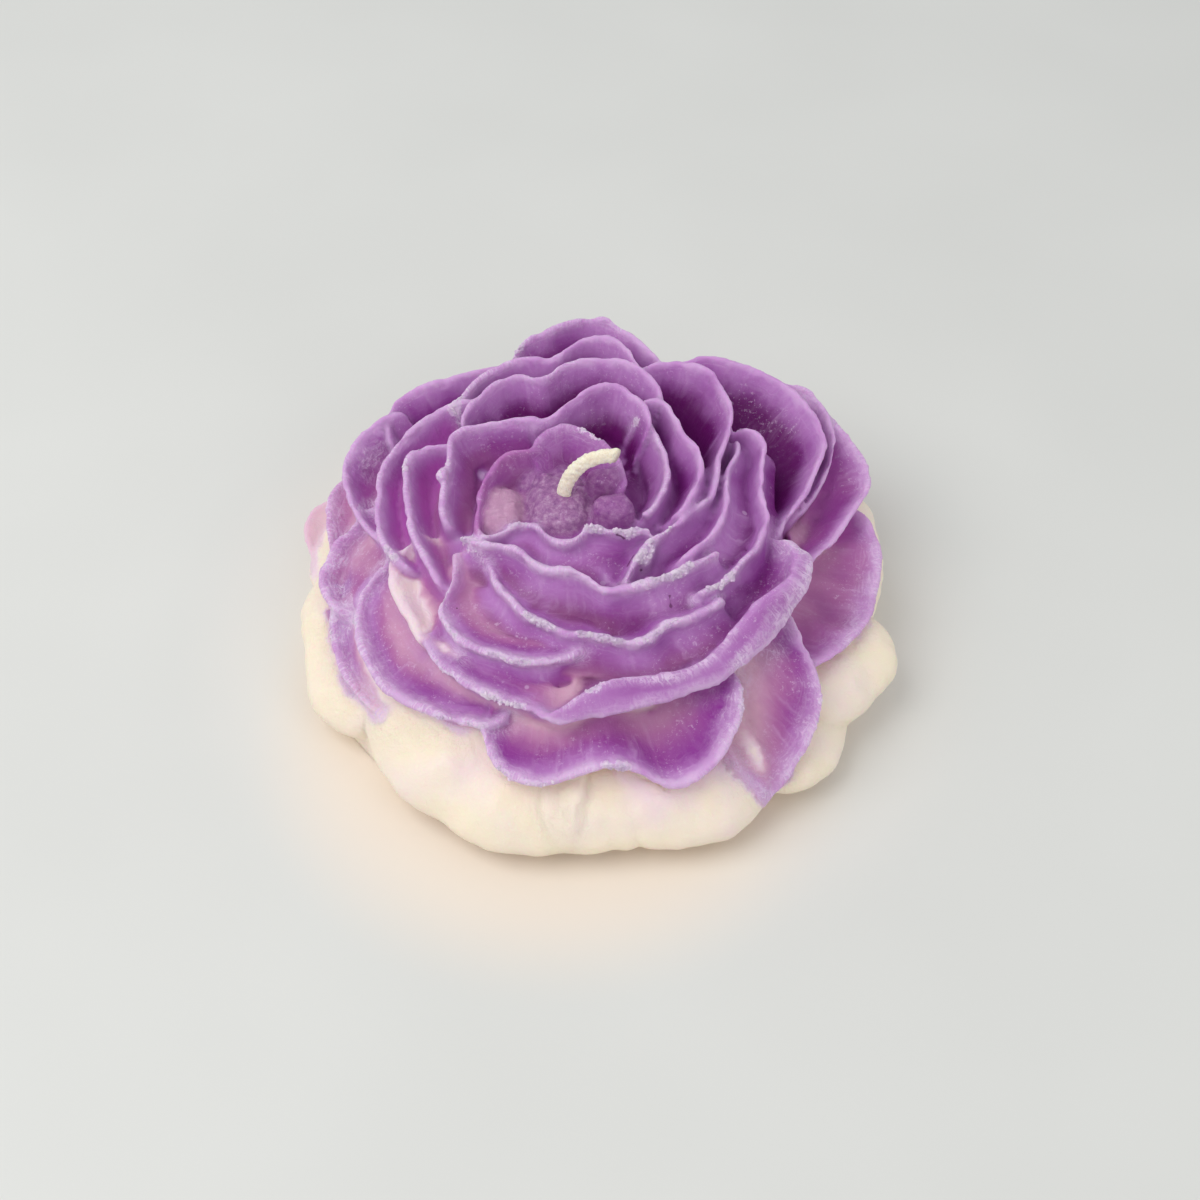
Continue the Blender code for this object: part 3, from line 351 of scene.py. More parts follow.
# Crusts of bloom on the rims and crests of petals: where along the rim as a share, length
# along the rim and reach down the outer face in millimetres, how many chips, and their
# length in millimetres.
CRUSTS = {
    "bud_front": [(0.56, 2.6, 1.2, 24, 1), (0.65, 3.4, 1.8, 45, 1), (0.25, 1.6, 0.5, 7, 0.6)],
    "bud_back": [(0.5, 3, 2, 17, 0.7)],
    "spiral_inner": [(0.37, 3.6, 2.4, 61, 1), (0.53, 1.4, 0.9, 8, 0.6)],
    "ring1_front": [(0.74, 4.8, 2.2, 68, 1), (0.66, 4, 0.8, 17, 0.7), (0.05, 3, 1, 15, 0.7)],
    "crescent": [(0.22, 2.4, 1.6, 20, 0.9)],
    "spiral_outer": [(0.77, 4.6, 1.4, 48, 1)],
    "ring2_front": [(0.41, 4.6, 1.3, 56, 1), (0.57, 6.4, 1, 68, 0.9), (0.71, 6, 0.9, 29, 0.7),
                     (0.1, 5, 1.4, 36, 0.7)],
    "ring3_front": [(0.64, 6, 1, 40, 0.7), (0.4, 3, 0.8, 13, 0.6)],
    "ring4_left_low": [(0.55, 6, 2.2, 77, 0.9), (0.3, 3, 0.8, 12, 0.6)],
    "front": [(0.25, 8, 1.4, 48, 0.7), (0.46, 2.6, 1.2, 29, 1), (0.85, 5, 1.6, 21, 0.6)],
    "left_front": [(0.73, 2, 1.2, 15, 0.8), (0.82, 3, 0.8, 12, 0.6), (0.33, 2.5, 0.8, 8, 0.6)],
    "left_front_low": [(0.25, 5, 1, 16, 0.6)],
    "ring3_back": [(0.12, 3.4, 1.6, 28, 0.9)],
    "ring3_left": [(0.16, 2.4, 1.2, 17, 0.8)],
    "ring2_left": [(0.64, 1, 0.6, 7, 0.7)],
    "ring1_left": [(0.35, 3, 1, 8, 0.6)],
    "back_high": [(0.2, 3, 1.6, 15, 0.8)],
    "front_right": [(0.45, 5, 1.6, 17, 0.6)],
    "ring4_front_crest": [(0.22, 3, 1, 13, 0.6)],
}

# Rims and crests silvered by a fine crackled bloom: share of the rim where it starts and
# ends, how far it reaches from the rim in millimetres, and how strong it is.
SILVERED = {
    "ring4_front": [(0.5, 0.95, 4.6, 1), (0.1, 0.5, 3, 0.5)],
    "ring4_front_crest": [(0.1, 0.6, 1.6, 0.9)],
    "ring2_front": [(0, 0.5, 1.8, 0.9), (0.5, 1, 1.8, 0.7)],
    "ring1_front": [(0, 0.5, 2, 0.8), (0.6, 1, 1.6, 0.8)],
    "ring3_front": [(0.1, 0.9, 1.9, 0.9)],
    "ring4_left_low": [(0.1, 0.7, 2.3, 0.9)],
    "front": [(0.05, 0.45, 2, 0.9), (0.45, 0.7, 1.4, 0.6), (0.72, 1, 4.5, 0.8)],
    "left_front": [(0.1, 0.6, 3.4, 0.9), (0.6, 1, 3, 0.8)],
    "left_front_low": [(0, 1, 5, 0.9)],
    "front_right": [(0.3, 1, 4.5, 0.7)],
    "right": [(0.3, 0.8, 5, 0.6)],
    "left_ear": [(0, 1, 6, 1)],
    "white_petal": [(0.1, 1, 3, 0.5)],
    "bud_front": [(0, 1, 1.8, 0.8)],
    "bud_back": [(0.2, 0.8, 3.2, 0.25)],
    "left_behind": [(0, 1, 5, 0.9)],
    "spiral_inner": [(0.1, 0.6, 1.8, 0.9)],
    "ring3_back": [(0, 0.4, 1.8, 0.8)],
    "ring2_left": [(0.2, 0.8, 1.4, 0.6)],
    "ring3_left": [(0.1, 0.8, 1.4, 0.6)],
    "ring1_left": [(0.1, 0.8, 1.6, 0.6)],
    "back_high": [(0, 0.7, 2, 0.7)],
    "ring2_back": [(0.1, 0.6, 1.2, 0.6)],
    "crescent": [(0.1, 0.9, 1.2, 0.7)],
    "right_tip": [(0.2, 0.7, 3, 0.5)],
    "left_high": [(0.2, 0.8, 1.4, 0.4)],
    "spiral_outer": [(0.6, 1, 1.4, 0.7)],
}

# Hairline cracks, as points about the flower's axis that are laid onto the nearest wax.
CRACKS = [
    [(317, 10.4, 26.6), (320, 11.8, 25.6), (313, 13, 24.8), (315, 14.4, 24.2)],
    [(314.2, 21.3, 24.5), (313.5, 21.8, 24.1), (312.8, 22.1, 23.8), (312.2, 22.4, 23.4)],
]

# Look of each petal: wax tones at its rim, at the foot of its inner face and at the foot of
# its outer face, each one tone or several spread evenly from the first point of the rim to
# the last (0 purple, 0.35 mauve, 0.65 salmon pink, 0.8 pale pink, 1 cream); how much painted
# shade its foot and clefts get; and how frosted the rim is.
# The left petals, whose faces lie in shade, and the front petal's foot under the lip above are
# given paler tones, partly as painted light.
LOOKS = {
    "bud_left": (0.2, 0.35, (0.25, 0.2), 0.9, 0),
    "bud_back": (0.05, 0.2, 0.1, 0.75, 0.1),
    "bud_front": (0.05, 0.3, (0.4, 0.35, 0.15, 0.1), 0.3, 1),
    "ring1_left": ((0.3, 0.15, 0.05, 0), (0.45, 0.4, 0.2, 0.1), (0.5, 0.15), 0.3, 0.5),
    "ring1_back": (0, 0, 0, 1, 0.4),
    "ring1_right": (0, 0, 0, 0.8, 0.5),
    "crescent": (0, 0, 0, 0.8, 0.6),
    "ring1_front": ((0.05, 0, 0, 0), (0.4, 0.3, 0.2, 0), (0.5, 0.45, 0.4, 0.15, 0), 0.7, 1),
    "spiral_inner": (0, (0.05, 0), (0.1, 0), 0.8, 0.6),
    "spiral_middle": (0, 0, 0, 0.9, 0.4),
    "spiral_outer": (0, 0, (0, 0, 0.05), 0.6, 0.4),
    "ring2_left": ((0.35, 0.2, 0.05, 0, 0), (0.65, 0.45, 0.25, 0.1), (0.5, 0.2), 0, 0.4),
    "ring2_back": (0, 0, 0, 0.9, 0.4),
    "ring2_right": (0, 0, 0, 0.9, 0.3),
    "ring2_front": ((0.15, 0, 0, 0), (0.5, 0.45, 0.3, 0.1), (0.45, 0.55, 0.55, 0.4, 0.2), 0.55, 1),
    "ring3_left": ((0.4, 0.2, 0.1, 0.05, 0), (0.6, 0.4, 0.25, 0.15, 0.05), (0.5, 0.2), 0, 0.4),
    "ring3_back": (0, 0, 0, 0.8, 0.4),
    "ring3_front": ((0.7, 0.5, 0.15, 0, 0, 0.55), (0.6, 0.45, 0.35, 0.5), (0.5, 0.5, 0.7), 0, 1),
    "white_petal": ((0.3, 0.7, 0.83, 0.84, 0.84, 0.84, 0.82, 0.8), (0.6, 0.8, 0.82, 0.78, 0.72),
                    0.45, 0, 0.1),
    "ring4_left_low": ((0.85, 0.3, 0, 0, 0.1, 0.5, 0.68, 0.7), (0.8, 0.4, 0.3, 0.6, 0.75),
                       (0.5, 0.55, 0.7), 0, 1),
    "ring4_front": ((0.1, 0, 0, 0, 0), (0.5, 0.45, 0.2, 0.05, 0), 0.7, 0.7, 0.9),
    "back_high": (0, 0.1, 0.3, 0.6, 0.5),
    "back_left": (0.05, 0.1, 0.4, 0.4, 0.5),
    "left_high": ((0.6, 0.35, 0.2, 0.1, 0.05, 0), (0.65, 0.45, 0.35, 0.25, 0.1), 0.6, 0, 0.3),
    "right_bowl": (0, 0, 0.3, 0.85, 0.3),
    "right_behind": (0.1, 0.1, 0.4, 0.6, 0.5),
    "right_tip": (0.15, (0.35, 0.2, 0.35), 0.7, 0.1, 0.5),
    "left_ear": ((0.5, 0.38, 0.38, 0.45), 0.62, 0.9, 0, 0.4),
    "left_behind": ((0.48, 0.48, 0.52), 0.62, 0.9, 0, 0.3),
    "left_tip": ((0.66, 0.72, 0.78), 0.82, 0.95, 0, 0.2),
    "left_front": ((0.35, 0.15, 0.05, 0, 0), (0.5, 0.76, 0.7, 0.35, 0.35), 0.9, 0, 0.7),
    "left_front_low": ((0.1, 0, 0.2, 0.6, 0.82, 0.9, 0.95), (0.4, 0.6, 0.8, 0.9), 0.95, 0, 0.4),
    "front": ((0.05, 0, 0, 0, 0), (0.78, 0.74, 0.42, 0.25), 0.9, 0, 0.9),
    "front_right": ((0.1, 0, 0.1, 0.4, 0.75), (0.1, 0.5, 0.88, 0.94), 0.8, 0, 0.7),
    "right": (0.25, 0.5, 0.9, 0, 0.3),
    "back_outer": (0.05, 0.4, 0.85, 0.2, 0.4),
    "back_left_outer": ((0.05, 0.2), 0.5, 0.9, 0.1, 0.4),
    "back_right_outer": (0.1, 0.5, 0.9, 0.1, 0.4),
    "base_front_right": (1, 0.5, 1, 0, 0),
    "back_low_left": ((0.85, 0.9), 0.92, 0.97, 0, 0.1),
    "back_low_right": ((0.9, 0.85), 0.92, 0.97, 0, 0.1),
}
# Tone of each lump, and how crumbly it is.
LUMP_LOOKS = {"pillow": (0.1, 0.7), "fold": (0.1, 0.6), "floor": (0.3, 1),
              "smooth_patch": (0.6, 0.5), "floor_back": (0.1, 0.8)}
LUMP_DOWN = 3.0                # a lump is coloured like a petal this far down from its rim
# How much painted shade the clefts of a lump get.
LUMP_PAINTED_SHADE = 0.2
BASE_LOOK = (1, 0.88, 1, 0, 0)
NARROW = {"white_petal"}       # petals whose rim tone is only a narrow band

# Ways from the rim, in millimetres, where its tone starts to fade and where it is gone. The
# inner fade ends near the petal's foot instead, at LEAST_FADE or farther, on all petals but
# the narrow ones.
INNER_FADE = (2.0, 6.0)
LEAST_FADE = 4.0
OUTER_FADE = (1.5, 6.0)
FREE_FADE = (0.6, 1.5)         # outer faces that hang free, inside their rim
NARROW_OUTER_FADE = (0.3, 1.2)

# What each sample of a petal holds: tone, way down from its rim, how much painted shade its
# foot and clefts get, how frosted its rim is, way along the rim, whether it is of the cream
# base, 1 on its inner face and -1 on the outer one, and how crumbly it is.
COLUMNS = ("tone", "down", "dark", "frost", "along", "base", "side", "bud")

# Soft noise over the wax: size of its features in millimetres, and shift.
CLOUDS = {"clouds": (7.0, 0.0), "mottle": (3.0, 0.5), "patches": (5.0, 0.9)}

# Relief of the skin. Pairs are a height and the size of the features, in millimetres.
CAST_RELIEF = ((0.10, 3.5), (0.05, 1.6))
FOOT_RELIEF = ((0.5, 5.0), (0.2, 2.2))
BUD_RELIEF = ((0.22, 1.8), (0.08, 0.8))
CRUMBS = ((1.0, 1.1), (0.5, 0.55))
CRUST_HEIGHT = 0.34
SCUFF_HEIGHT = 0.14
SCUFF_REACH = 1.2              # how far down from a frosted rim it is scuffed
NICK_DEPTH = 0.5
NICK_REACH = 1.4
PLATE_SIZE = 2.8               # plates of wax in the bud's hollow
PLATE_HEIGHT = 0.10
CRUST_HALO = 0.7               # soft border of the wax that a chip of bloom whitens
CRUST_SEED = 7
CHIP_SEED = 8


def srgb(red, green, blue):
    """Linear colour of a screen colour given from 0 to 255."""
    def linear(value):
        value /= 255
        return value / 12.92 if value <= 0.04045 else ((value + 0.055) / 1.055) ** 2.4
    return (linear(red), linear(green), linear(blue), 1.0)


def flower_point(azimuth, radius, height):
    """A point about the flower's axis, in metres."""
    angle = math.radians(azimuth)
    return Vector((FLOWER_AXIS[0] + radius * math.cos(angle),
                   FLOWER_AXIS[1] + radius * math.sin(angle), height)) * MM


def level(start, end):
    """Level unit vector from one place towards another."""
    return Vector((end.x - start.x, end.y - start.y, 0.0)).normalized()


def smooth_curve(points, step):
    """Even stations along a Catmull-Rom curve through the points."""
    ends = [2 * points[0] - points[1]] + points + [2 * points[-1] - points[-2]]
    dense = []
    for p0, p1, p2, p3 in zip(ends, ends[1:], ends[2:], ends[3:]):
        for k in range(CURVE_STEPS):
            t = k / CURVE_STEPS
            dense.append(0.5 * (2 * p1 + (p2 - p0) * t + (2 * p0 - 5 * p1 + 4 * p2 - p3) * t**2
                                + (3 * p1 - p0 - 3 * p2 + p3) * t**3))
    dense.append(points[-1])
    lengths = [0.0]
    for a, b in zip(dense, dense[1:]):
        lengths.append(lengths[-1] + (b - a).length)
    count = max(4, round(lengths[-1] / step))
    stations = []
    k = 0
    for i in range(count + 1):
        target = lengths[-1] * i / count
        while k < len(lengths) - 2 and lengths[k + 1] < target:
            k += 1
        share = (target - lengths[k]) / (lengths[k + 1] - lengths[k])
        stations.append(dense[k].lerp(dense[k + 1], min(1.0, share)))
    return stations


def bend_to(start, bend, end):
    """Points of a curve that leaves `start` towards `bend` and reaches `end` from it."""
    shares = [k / SECTION_STEPS for k in range(SECTION_STEPS + 1)]
    return [start * (1 - t) ** 2 + bend * 2 * t * (1 - t) + end * t * t for t in shares]


def petal_section(form, tip, crest):
    """Outline of a petal across its rim as (outwards, up, way from the rim), and its bottom.

    It runs up the inner face from the foot, over the crest where there is one, round the
    rim, which touches (0, 0), and down the outer face, where the way is negative.
    """
    lean, depth, rise, flare, drop = form
    turn = math.radians(rise)
    ahead = Vector((math.cos(turn), math.sin(turn)))
    inwards = Vector((-ahead.y, ahead.x)) * tip / 2
    middle = -ahead * tip / 2
    foot = Vector((-lean, -depth))
    skirt = Vector((flare, -drop))
    if crest:
        top = Vector(crest)
        inner = bend_to(foot, Vector((top.x - 0.5, foot.y)), top)
        shoulder = Vector((top.x * 0.3, top.y * 0.85))
        inner += bend_to(top, shoulder, middle + inwards)[1:]
    else:
        reach = (middle + inwards - foot).length
        inner = bend_to(foot, middle + inwards - ahead * reach * 0.5, middle + inwards)
    reach = (skirt - middle + inwards).length
    outer = bend_to(middle - inwards, middle - inwards - ahead * reach * 0.5, skirt)
    rounding = []
    for angle in RIM_ANGLES:
        around = math.radians(angle)
        rounding.append(middle + inwards * math.cos(around) + ahead * math.sin(around) * tip / 2)

    def ways(face, sign):
        total = 0.0
        out = []
        for k, here in enumerate(face):
            total += (here - face[k - 1]).length if k else 0.0
            out.append((here.x, here.y, sign * total))
        return out

    section = ways(inner[::-1], 1)[::-1] + [(p.x, p.y, 0.0) for p in rounding] + ways(outer, -1)
    deep = min(-depth, -drop) - ROOT_DEPTH
    return section, [(flare - 1.0, deep), (-lean - 1.0, deep)]


def wobble(place, size):
    """Smooth signed noise of features about that many millimetres long."""
    return noise.noise(place / (size * MM))


def wobbles(place, *layers):
    """Sum of wobbles, each given as its height and its size."""
    return sum(height * wobble(place, size) for height, size in layers)


class Samples:
    """Points on every petal's faces, with what the petal looks like there, and the rims."""

    def __init__(self):
        self.points = []
        self.values = []
        self.rims = {}

    def add(self, point, **look):
        self.points.append(point)
        self.values.append([look.get(column, 0.0) for column in COLUMNS])


def along_rim(values, share):
    """Values at a share of the rim's length, from one row or several spread evenly along it."""
    rows = np.array(values, dtype=float, ndmin=1)
    places = np.linspace(0, 1, len(rows))
    columns = rows.reshape(len(rows), -1).T
    return tuple(float(np.interp(share, places, column)) for column in columns)


def tucked(points, aim, tuck_in, sink):
    """A rim with both ends turned in and down behind the neighbouring petals."""
    rim = [flower_point(*p) for p in points]
    for end, place in ((rim[0], 0), (rim[-1], len(rim) + 1)):
        rim.insert(place, end + level(end, aim) * tuck_in * MM - Vector((0, 0, sink * MM)))
    return rim


def fade_band(name, way, reach, free):
    """How far from the rim its tone starts to fade, and where the foot's tone is reached."""
    if way >= 0:
        return INNER_FADE if name in NARROW else (INNER_FADE[0], max(LEAST_FADE, reach))
    if name in NARROW:
        return NARROW_OUTER_FADE
    return FREE_FADE if free else OUTER_FADE


def loft(mesh, rings):
    """Close a body over rings of vertices, with a face on each end."""
    for first, second in zip(rings, rings[1:]):
        for k in range(len(first)):
            after = (k + 1) % len(first)
            mesh.faces.new((first[k], second[k], second[after], first[after]))
    mesh.faces.new(rings[0])
    mesh.faces.new(rings[-1][::-1])


def add_petal(mesh, samples, name, spec):
    """Loft one petal's section along its rim, as a closed body in the bmesh."""
    cream = name in BASE_PETALS
    tip = BASE_TIP if cream else spec.get("tip", PETAL_TIP) * FINE_TIP
    tuck_in = BASE_TUCK_IN if cream else TUCK_IN
    aim = Vector((*spec.get("aim", FLOWER_AXIS), 0.0)) * MM
    sink = spec.get("sink", TUCK_DOWN)
    flutes, flute_height = spec.get("flutes", (0, 0.0))
    stations = smooth_curve(tucked(spec["rim"], aim, tuck_in, sink), STATION_STEP * MM)
    samples.rims[name] = stations
    crests = None
    if "crest" in spec:
        crests = smooth_curve(tucked(spec["crest"], aim, tuck_in, sink), STATION_STEP * MM)
        samples.rims[name + "_crest"] = crests
    *tones, dark, frost = LOOKS.get(name, BASE_LOOK)
    rings = []
    for i, point in enumerate(stations):
        share = i / (len(stations) - 1)
        outwards = level(aim, point)
        crest = None
        if crests:
            above = (crests[round(share * (len(crests) - 1))] - point) / MM
            crest = (-above.xy.length, above.z)
        section, bottom = petal_section(along_rim(spec["forms"], share), tip, crest)
        rim_tone, inner_tone, outer_tone = (along_rim(values, share)[0] for values in tones)
        ruffle = outwards * wobble(point, 5) * 0.3 + Vector((0, 0, wobble(point * 1.3, 4) * 0.35))
        reach = 0.9 * section[0][2]
        ring = []
        for k, (out, up, way) in enumerate(section):
            place = point + outwards * out * MM + Vector((0, 0, up * MM))
            place += ruffle * MM * max(0.0, 1 - abs(way) / RUFFLE_REACH)
            if way > 0:
                fan = math.sin(2 * math.pi * flutes * (share + 0.03 * wobble(place, 9)))
                swell = math.sin(math.pi * min(1.0, way / FLUTE_LENGTH))
                place.z += fan * flute_height * MM * swell
            ring.append(mesh.verts.new(place))
            band = fade_band(name, way, reach, free=spec["forms"][0][3] < 0)
            foot_tone = inner_tone if way >= 0 else outer_tone
            down = abs(way)
            if crest:
                down = min(down, 0.4 + math.hypot(out - crest[0], up - crest[1]))
            fade = np.interp(abs(way), band, (0, 1))
            inside = way > 0 and not (crests and k > SECTION_STEPS)
            samples.add(place, tone=rim_tone + (foot_tone - rim_tone) * fade, down=down, dark=dark,
                        frost=frost, along=i * STATION_STEP, base=cream,
                        side=1.0 if inside else -1.0)
        for out, up in bottom:
            ring.append(mesh.verts.new(point + outwards * out * MM + Vector((0, 0, up * MM))))
        rings.append(ring)
    loft(mesh, rings)


def link(name, data):
    obj = bpy.data.objects.new(name, data)
    bpy.context.scene.collection.objects.link(obj)
    return obj


def to_object(name, mesh):
    """Turn a finished bmesh into an object."""
    data = bpy.data.meshes.new(name)
    mesh.to_mesh(data)
    mesh.free()
    return link(name, data)


def evaluated_mesh(obj):
    """A new mesh with the object's modifiers worked out."""
    bpy.context.view_layer.update()
    evaluated = obj.evaluated_get(bpy.context.evaluated_depsgraph_get())
    return bpy.data.meshes.new_from_object(evaluated)


def add_dome(mesh):
    """Turned heap of wax under the petals, tilted so that its back is higher."""
    data = bpy.data.meshes.new("dome")
    data.from_pydata([(r * MM, 0, h * MM) for r, h in DOME] + [(0, 0, DOME[-1][1] * MM)],
                     [(k, k + 1) for k in range(len(DOME))], [])
    obj = link("dome", data)
    screw = obj.modifiers.new("Turn", 'SCREW')
    screw.steps = DOME_SIDES
    screw.render_steps = DOME_SIDES
    screw.use_merge_vertices = True
    screw.merge_threshold = 0.05 * MM
    obj.location = (FLOWER_AXIS[0] * MM, FLOWER_AXIS[1] * MM, 0)
    obj.rotation_euler = (math.radians(DOME_TILT), 0, 0)
    turned = evaluated_mesh(obj)
    turned.transform(obj.matrix_world)
    mesh.from_mesh(turned)
    bpy.data.meshes.remove(turned)
    bpy.data.objects.remove(obj)


def add_lumps(mesh, samples):
    """Boxy balls of wax round the wick, and small beads on the petals."""
    for name, (middle, half) in LUMPS.items():
        ball = bmesh.ops.create_icosphere(mesh, subdivisions=4, radius=1.0)["verts"]
        tone, crumbly = LUMP_LOOKS[name]
        for vert in ball:
            vert.co /= sum(abs(c) ** CUSHION for c in vert.co) ** (1 / CUSHION)
            vert.co = flower_point(*middle) + Vector(a * b for a, b in zip(vert.co, half)) * MM
            samples.add(vert.co.copy(), tone=tone, down=LUMP_DOWN, dark=LUMP_PAINTED_SHADE, bud=crumbly)
    for place, size in BEADS:
        ball = bmesh.ops.create_icosphere(mesh, subdivisions=3, radius=size * MM)["verts"]
        bmesh.ops.translate(mesh, vec=flower_point(*place), verts=ball)


def keep_largest_shell(mesh):
    """Keep the biggest connected shell and delete the small closed pockets inside it.

    A dict keeps the order of the vertices, so that every run gives the same mesh.
    """
    unseen = dict.fromkeys(mesh.verts)
    shells = []
    while unseen:
        stack = [unseen.popitem()[0]]
        shell = list(stack)
        while stack:
            for edge in stack.pop().link_edges:
                for vert in edge.verts:
                    if vert in unseen:
                        del unseen[vert]
                        shell.append(vert)
                        stack.append(vert)
        shells.append(shell)
    shells.sort(key=len, reverse=True)
    for shell in shells[1:]:
        bmesh.ops.delete(mesh, geom=shell, context='VERTS')


def flatten_foot(mesh):
    """Slice the skin at the table and close it with a flat face."""
    cut = bmesh.ops.bisect_plane(mesh, geom=mesh.verts[:] + mesh.edges[:] + mesh.faces[:],
                                 dist=0.001 * MM, plane_co=(0, 0, 0), plane_no=(0, 0, -1),
                                 clear_outer=True)
    rim = [item for item in cut["geom_cut"] if isinstance(item, bmesh.types.BMEdge)]
    bmesh.ops.triangle_fill(mesh, edges=rim, use_beauty=True)
    bmesh.ops.recalc_face_normals(mesh, faces=mesh.faces)


def apply_modifiers(obj):
    """Replace an object's mesh by its evaluated one."""
    data = evaluated_mesh(obj)
    obj.modifiers.clear()
    old = obj.data
    obj.data = data
    bpy.data.meshes.remove(old)


def vertex_array(data, what):
    """One row for each vertex: its place ("co") or its normal ("normal")."""
    rows = np.zeros(len(data.vertices) * 3)
    data.vertices.foreach_get(what, rows)
    return rows.reshape(-1, 3)


def search_tree(entries):
    """Tree that finds the nearest of some places, given as (index, place)."""
    entries = list(entries)
    tree = KDTree(len(entries))
    for index, place in entries:
        tree.insert(place, index)
    tree.balance()
    return tree


def distance_to(places, data):
    """Distance of each vertex from the nearest of the places, in millimetres."""
    tree = search_tree(enumerate(places))
    return np.array([tree.find(vert.co)[2] for vert in data.vertices]) / MM


def read_samples(data, samples):
    """What the nearest petal looks like at each vertex, one column per value.

    Cream petals only count where they are nearer than the purple ones by BASE_LAG.
    """
    values = np.array(samples.values)
    cream = values[:, COLUMNS.index("base")] > 0.5
    found = []
    for group in (np.flatnonzero(~cream), np.flatnonzero(cream)):
        tree = search_tree((int(i), samples.points[i]) for i in group)
        found.append([tree.find(vert.co)[1:] for vert in data.vertices])
    nearest = [base[0] if base[1] + BASE_LAG * MM < petal[1] else petal[0]
               for petal, base in zip(*found)]
    return values[nearest]


def blur(data, values):
    """Average each vertex's values with its neighbours', a few times."""
    edges = np.zeros(len(data.edges) * 2, dtype=np.int64)
    data.edges.foreach_get("vertices", edges)
    first, second = edges.reshape(-1, 2).T
    count = np.ones(len(values))
    np.add.at(count, first, 1)
    np.add.at(count, second, 1)
    for _ in range(BLUR_ROUNDS):
        total = values.copy()
        np.add.at(total, first, values[second])
        np.add.at(total, second, values[first])
        values = total / count[:, None]
    return values


def wax_relief(data, looks, crust):
    """Push the skin in and out: uneven casting, frosted rims and crumbs in the bud."""
    normals = vertex_array(data, "normal")
    places = vertex_array(data, "co")
    look = dict(zip(COLUMNS, looks.T))
    base, bud = look["base"], look["bud"]
    rim = np.clip(1 - look["down"] / SCUFF_REACH, 0, 1) * look["frost"]
    nicks = np.clip(1 - look["down"] / NICK_REACH, 0, 1) * (base < 0.5)
    push = np.zeros(len(places))
    for i, place in enumerate(places):
        spot = Vector(place)
        cast = wobbles(spot, *CAST_RELIEF)
        upright = Vector((place[0], place[1], 0.25 * place[2]))
        cast += base[i] * wobbles(upright, *FOOT_RELIEF)
        scuff = rim[i] * SCUFF_HEIGHT * wobble(spot, 1.0)
        scuff -= nicks[i] * NICK_DEPTH * max(0.0, wobble(spot, 2.4))
        crusty = crust[i] * CRUST_HEIGHT * max(0.0, wobbles(spot, *CRUMBS))
        push[i] = cast + scuff + crusty
        if bud[i] > 0:
            near, following = noise.voronoi(spot / (PLATE_SIZE * MM))[0][:2]
            plate = min(1.0, (following - near) / 0.2) + wobble(spot, 2.2)
            push[i] += bud[i] * (PLATE_HEIGHT * plate + wobbles(spot, *BUD_RELIEF))
    push *= np.clip(places[:, 2] / MM, 0, 1)
    data.vertices.foreach_set("co", (places + normals * push[:, None] * MM).ravel())
    data.update()


def silver_share(data, samples):
    """How much of a rim's silvery covering each vertex has."""
    spots = []
    for name, patches in SILVERED.items():
        line = samples.rims[name]
        for start, end, width, strength in patches:
            first, last = (round(share * (len(line) - 1)) for share in (start, end))
            for k in range(first, last + 1):
                taper = min(1.0, (k - first + 1) / 4, (last - k + 1) / 4)
                spots.append((line[k], width, strength * taper))
    tree = search_tree(enumerate(place for place, _, _ in spots))
    share = np.zeros(len(data.vertices))
    for vert in data.vertices:
        _, i, away = tree.find(vert.co)
        share[vert.index] = (1.5 - 1.5 * away / MM / spots[i][1]) * spots[i][2]
    return np.clip(share, 0, 1)


def crust_spots(samples):
    """Where each chip of bloom is before it is set on the skin, and its length."""
    draw = random.Random(CRUST_SEED)
    axis = Vector((*FLOWER_AXIS, 0.0)) * MM
    spots = []
    for name, crusts in CRUSTS.items():
        line = samples.rims[name]
        for middle, length, reach, count, size in crusts:
            for _ in range(count):
                along = draw.uniform(-0.5, 0.5)
                k = round(middle * (len(line) - 1) + along * length / STATION_STEP)
                place = line[min(max(k, 0), len(line) - 1)]
                spill = reach * draw.uniform(0.0, 1.0) * (1 - 2 * abs(along))
                jitter = Vector([draw.gauss(0, 0.2) for _ in range(3)])
                offset = level(axis, place) * spill + jitter + Vector((0, 0, 0.4 - 0.8 * spill))
                spots.append((place + offset * MM, size * draw.uniform(0.4, 1.1)))
    return spots


def crust_share(data, samples):
    """How near each vertex is to a chip of bloom: 1 under it, 0 away from all of them."""
    away = distance_to([place for place, _ in crust_spots(samples)], data)
    return np.clip(1.7 - away / CRUST_HALO, 0, 1)


def crack_distance(wax):
    """Distance of each vertex from the nearest hairline crack, in millimetres."""
    skin = BVHTree.FromObject(wax, bpy.context.evaluated_depsgraph_get())
    places = []
    for line in CRACKS:
        for place in smooth_curve([flower_point(*point) for point in line], CRACK_STEP * MM):
            stray = Vector((wobble(place, 0.9), wobble(place, 1.1), 0.0)) * 0.5 * MM
            places.append(skin.find_nearest(place + stray)[0])
    return distance_to(places, wax.data)


def openness(data):
    """Share of the sky seen from each vertex, looking out along its normal's side."""
    mesh = bmesh.new()
    mesh.from_mesh(data)
    tree = BVHTree.FromBMesh(mesh)
    seen = np.zeros(len(mesh.verts))
    golden = math.pi * (3 - math.sqrt(5))
    spread = []
    for k in range(SKY_RAYS):
        height = math.sqrt((k + 0.5) / SKY_RAYS)
        flat = math.sqrt(1 - height * height)
        spread.append(Vector((flat * math.cos(golden * k), flat * math.sin(golden * k), height)))
    for vert in mesh.verts:
        start = vert.co + vert.normal * 0.05 * MM
        turn = vert.normal.to_track_quat('Z', 'Y')
        clear = sum(tree.ray_cast(start, turn @ ray, SKY_REACH * MM)[0] is None for ray in spread)
        seen[vert.index] = clear / SKY_RAYS
    mesh.free()
    return seen


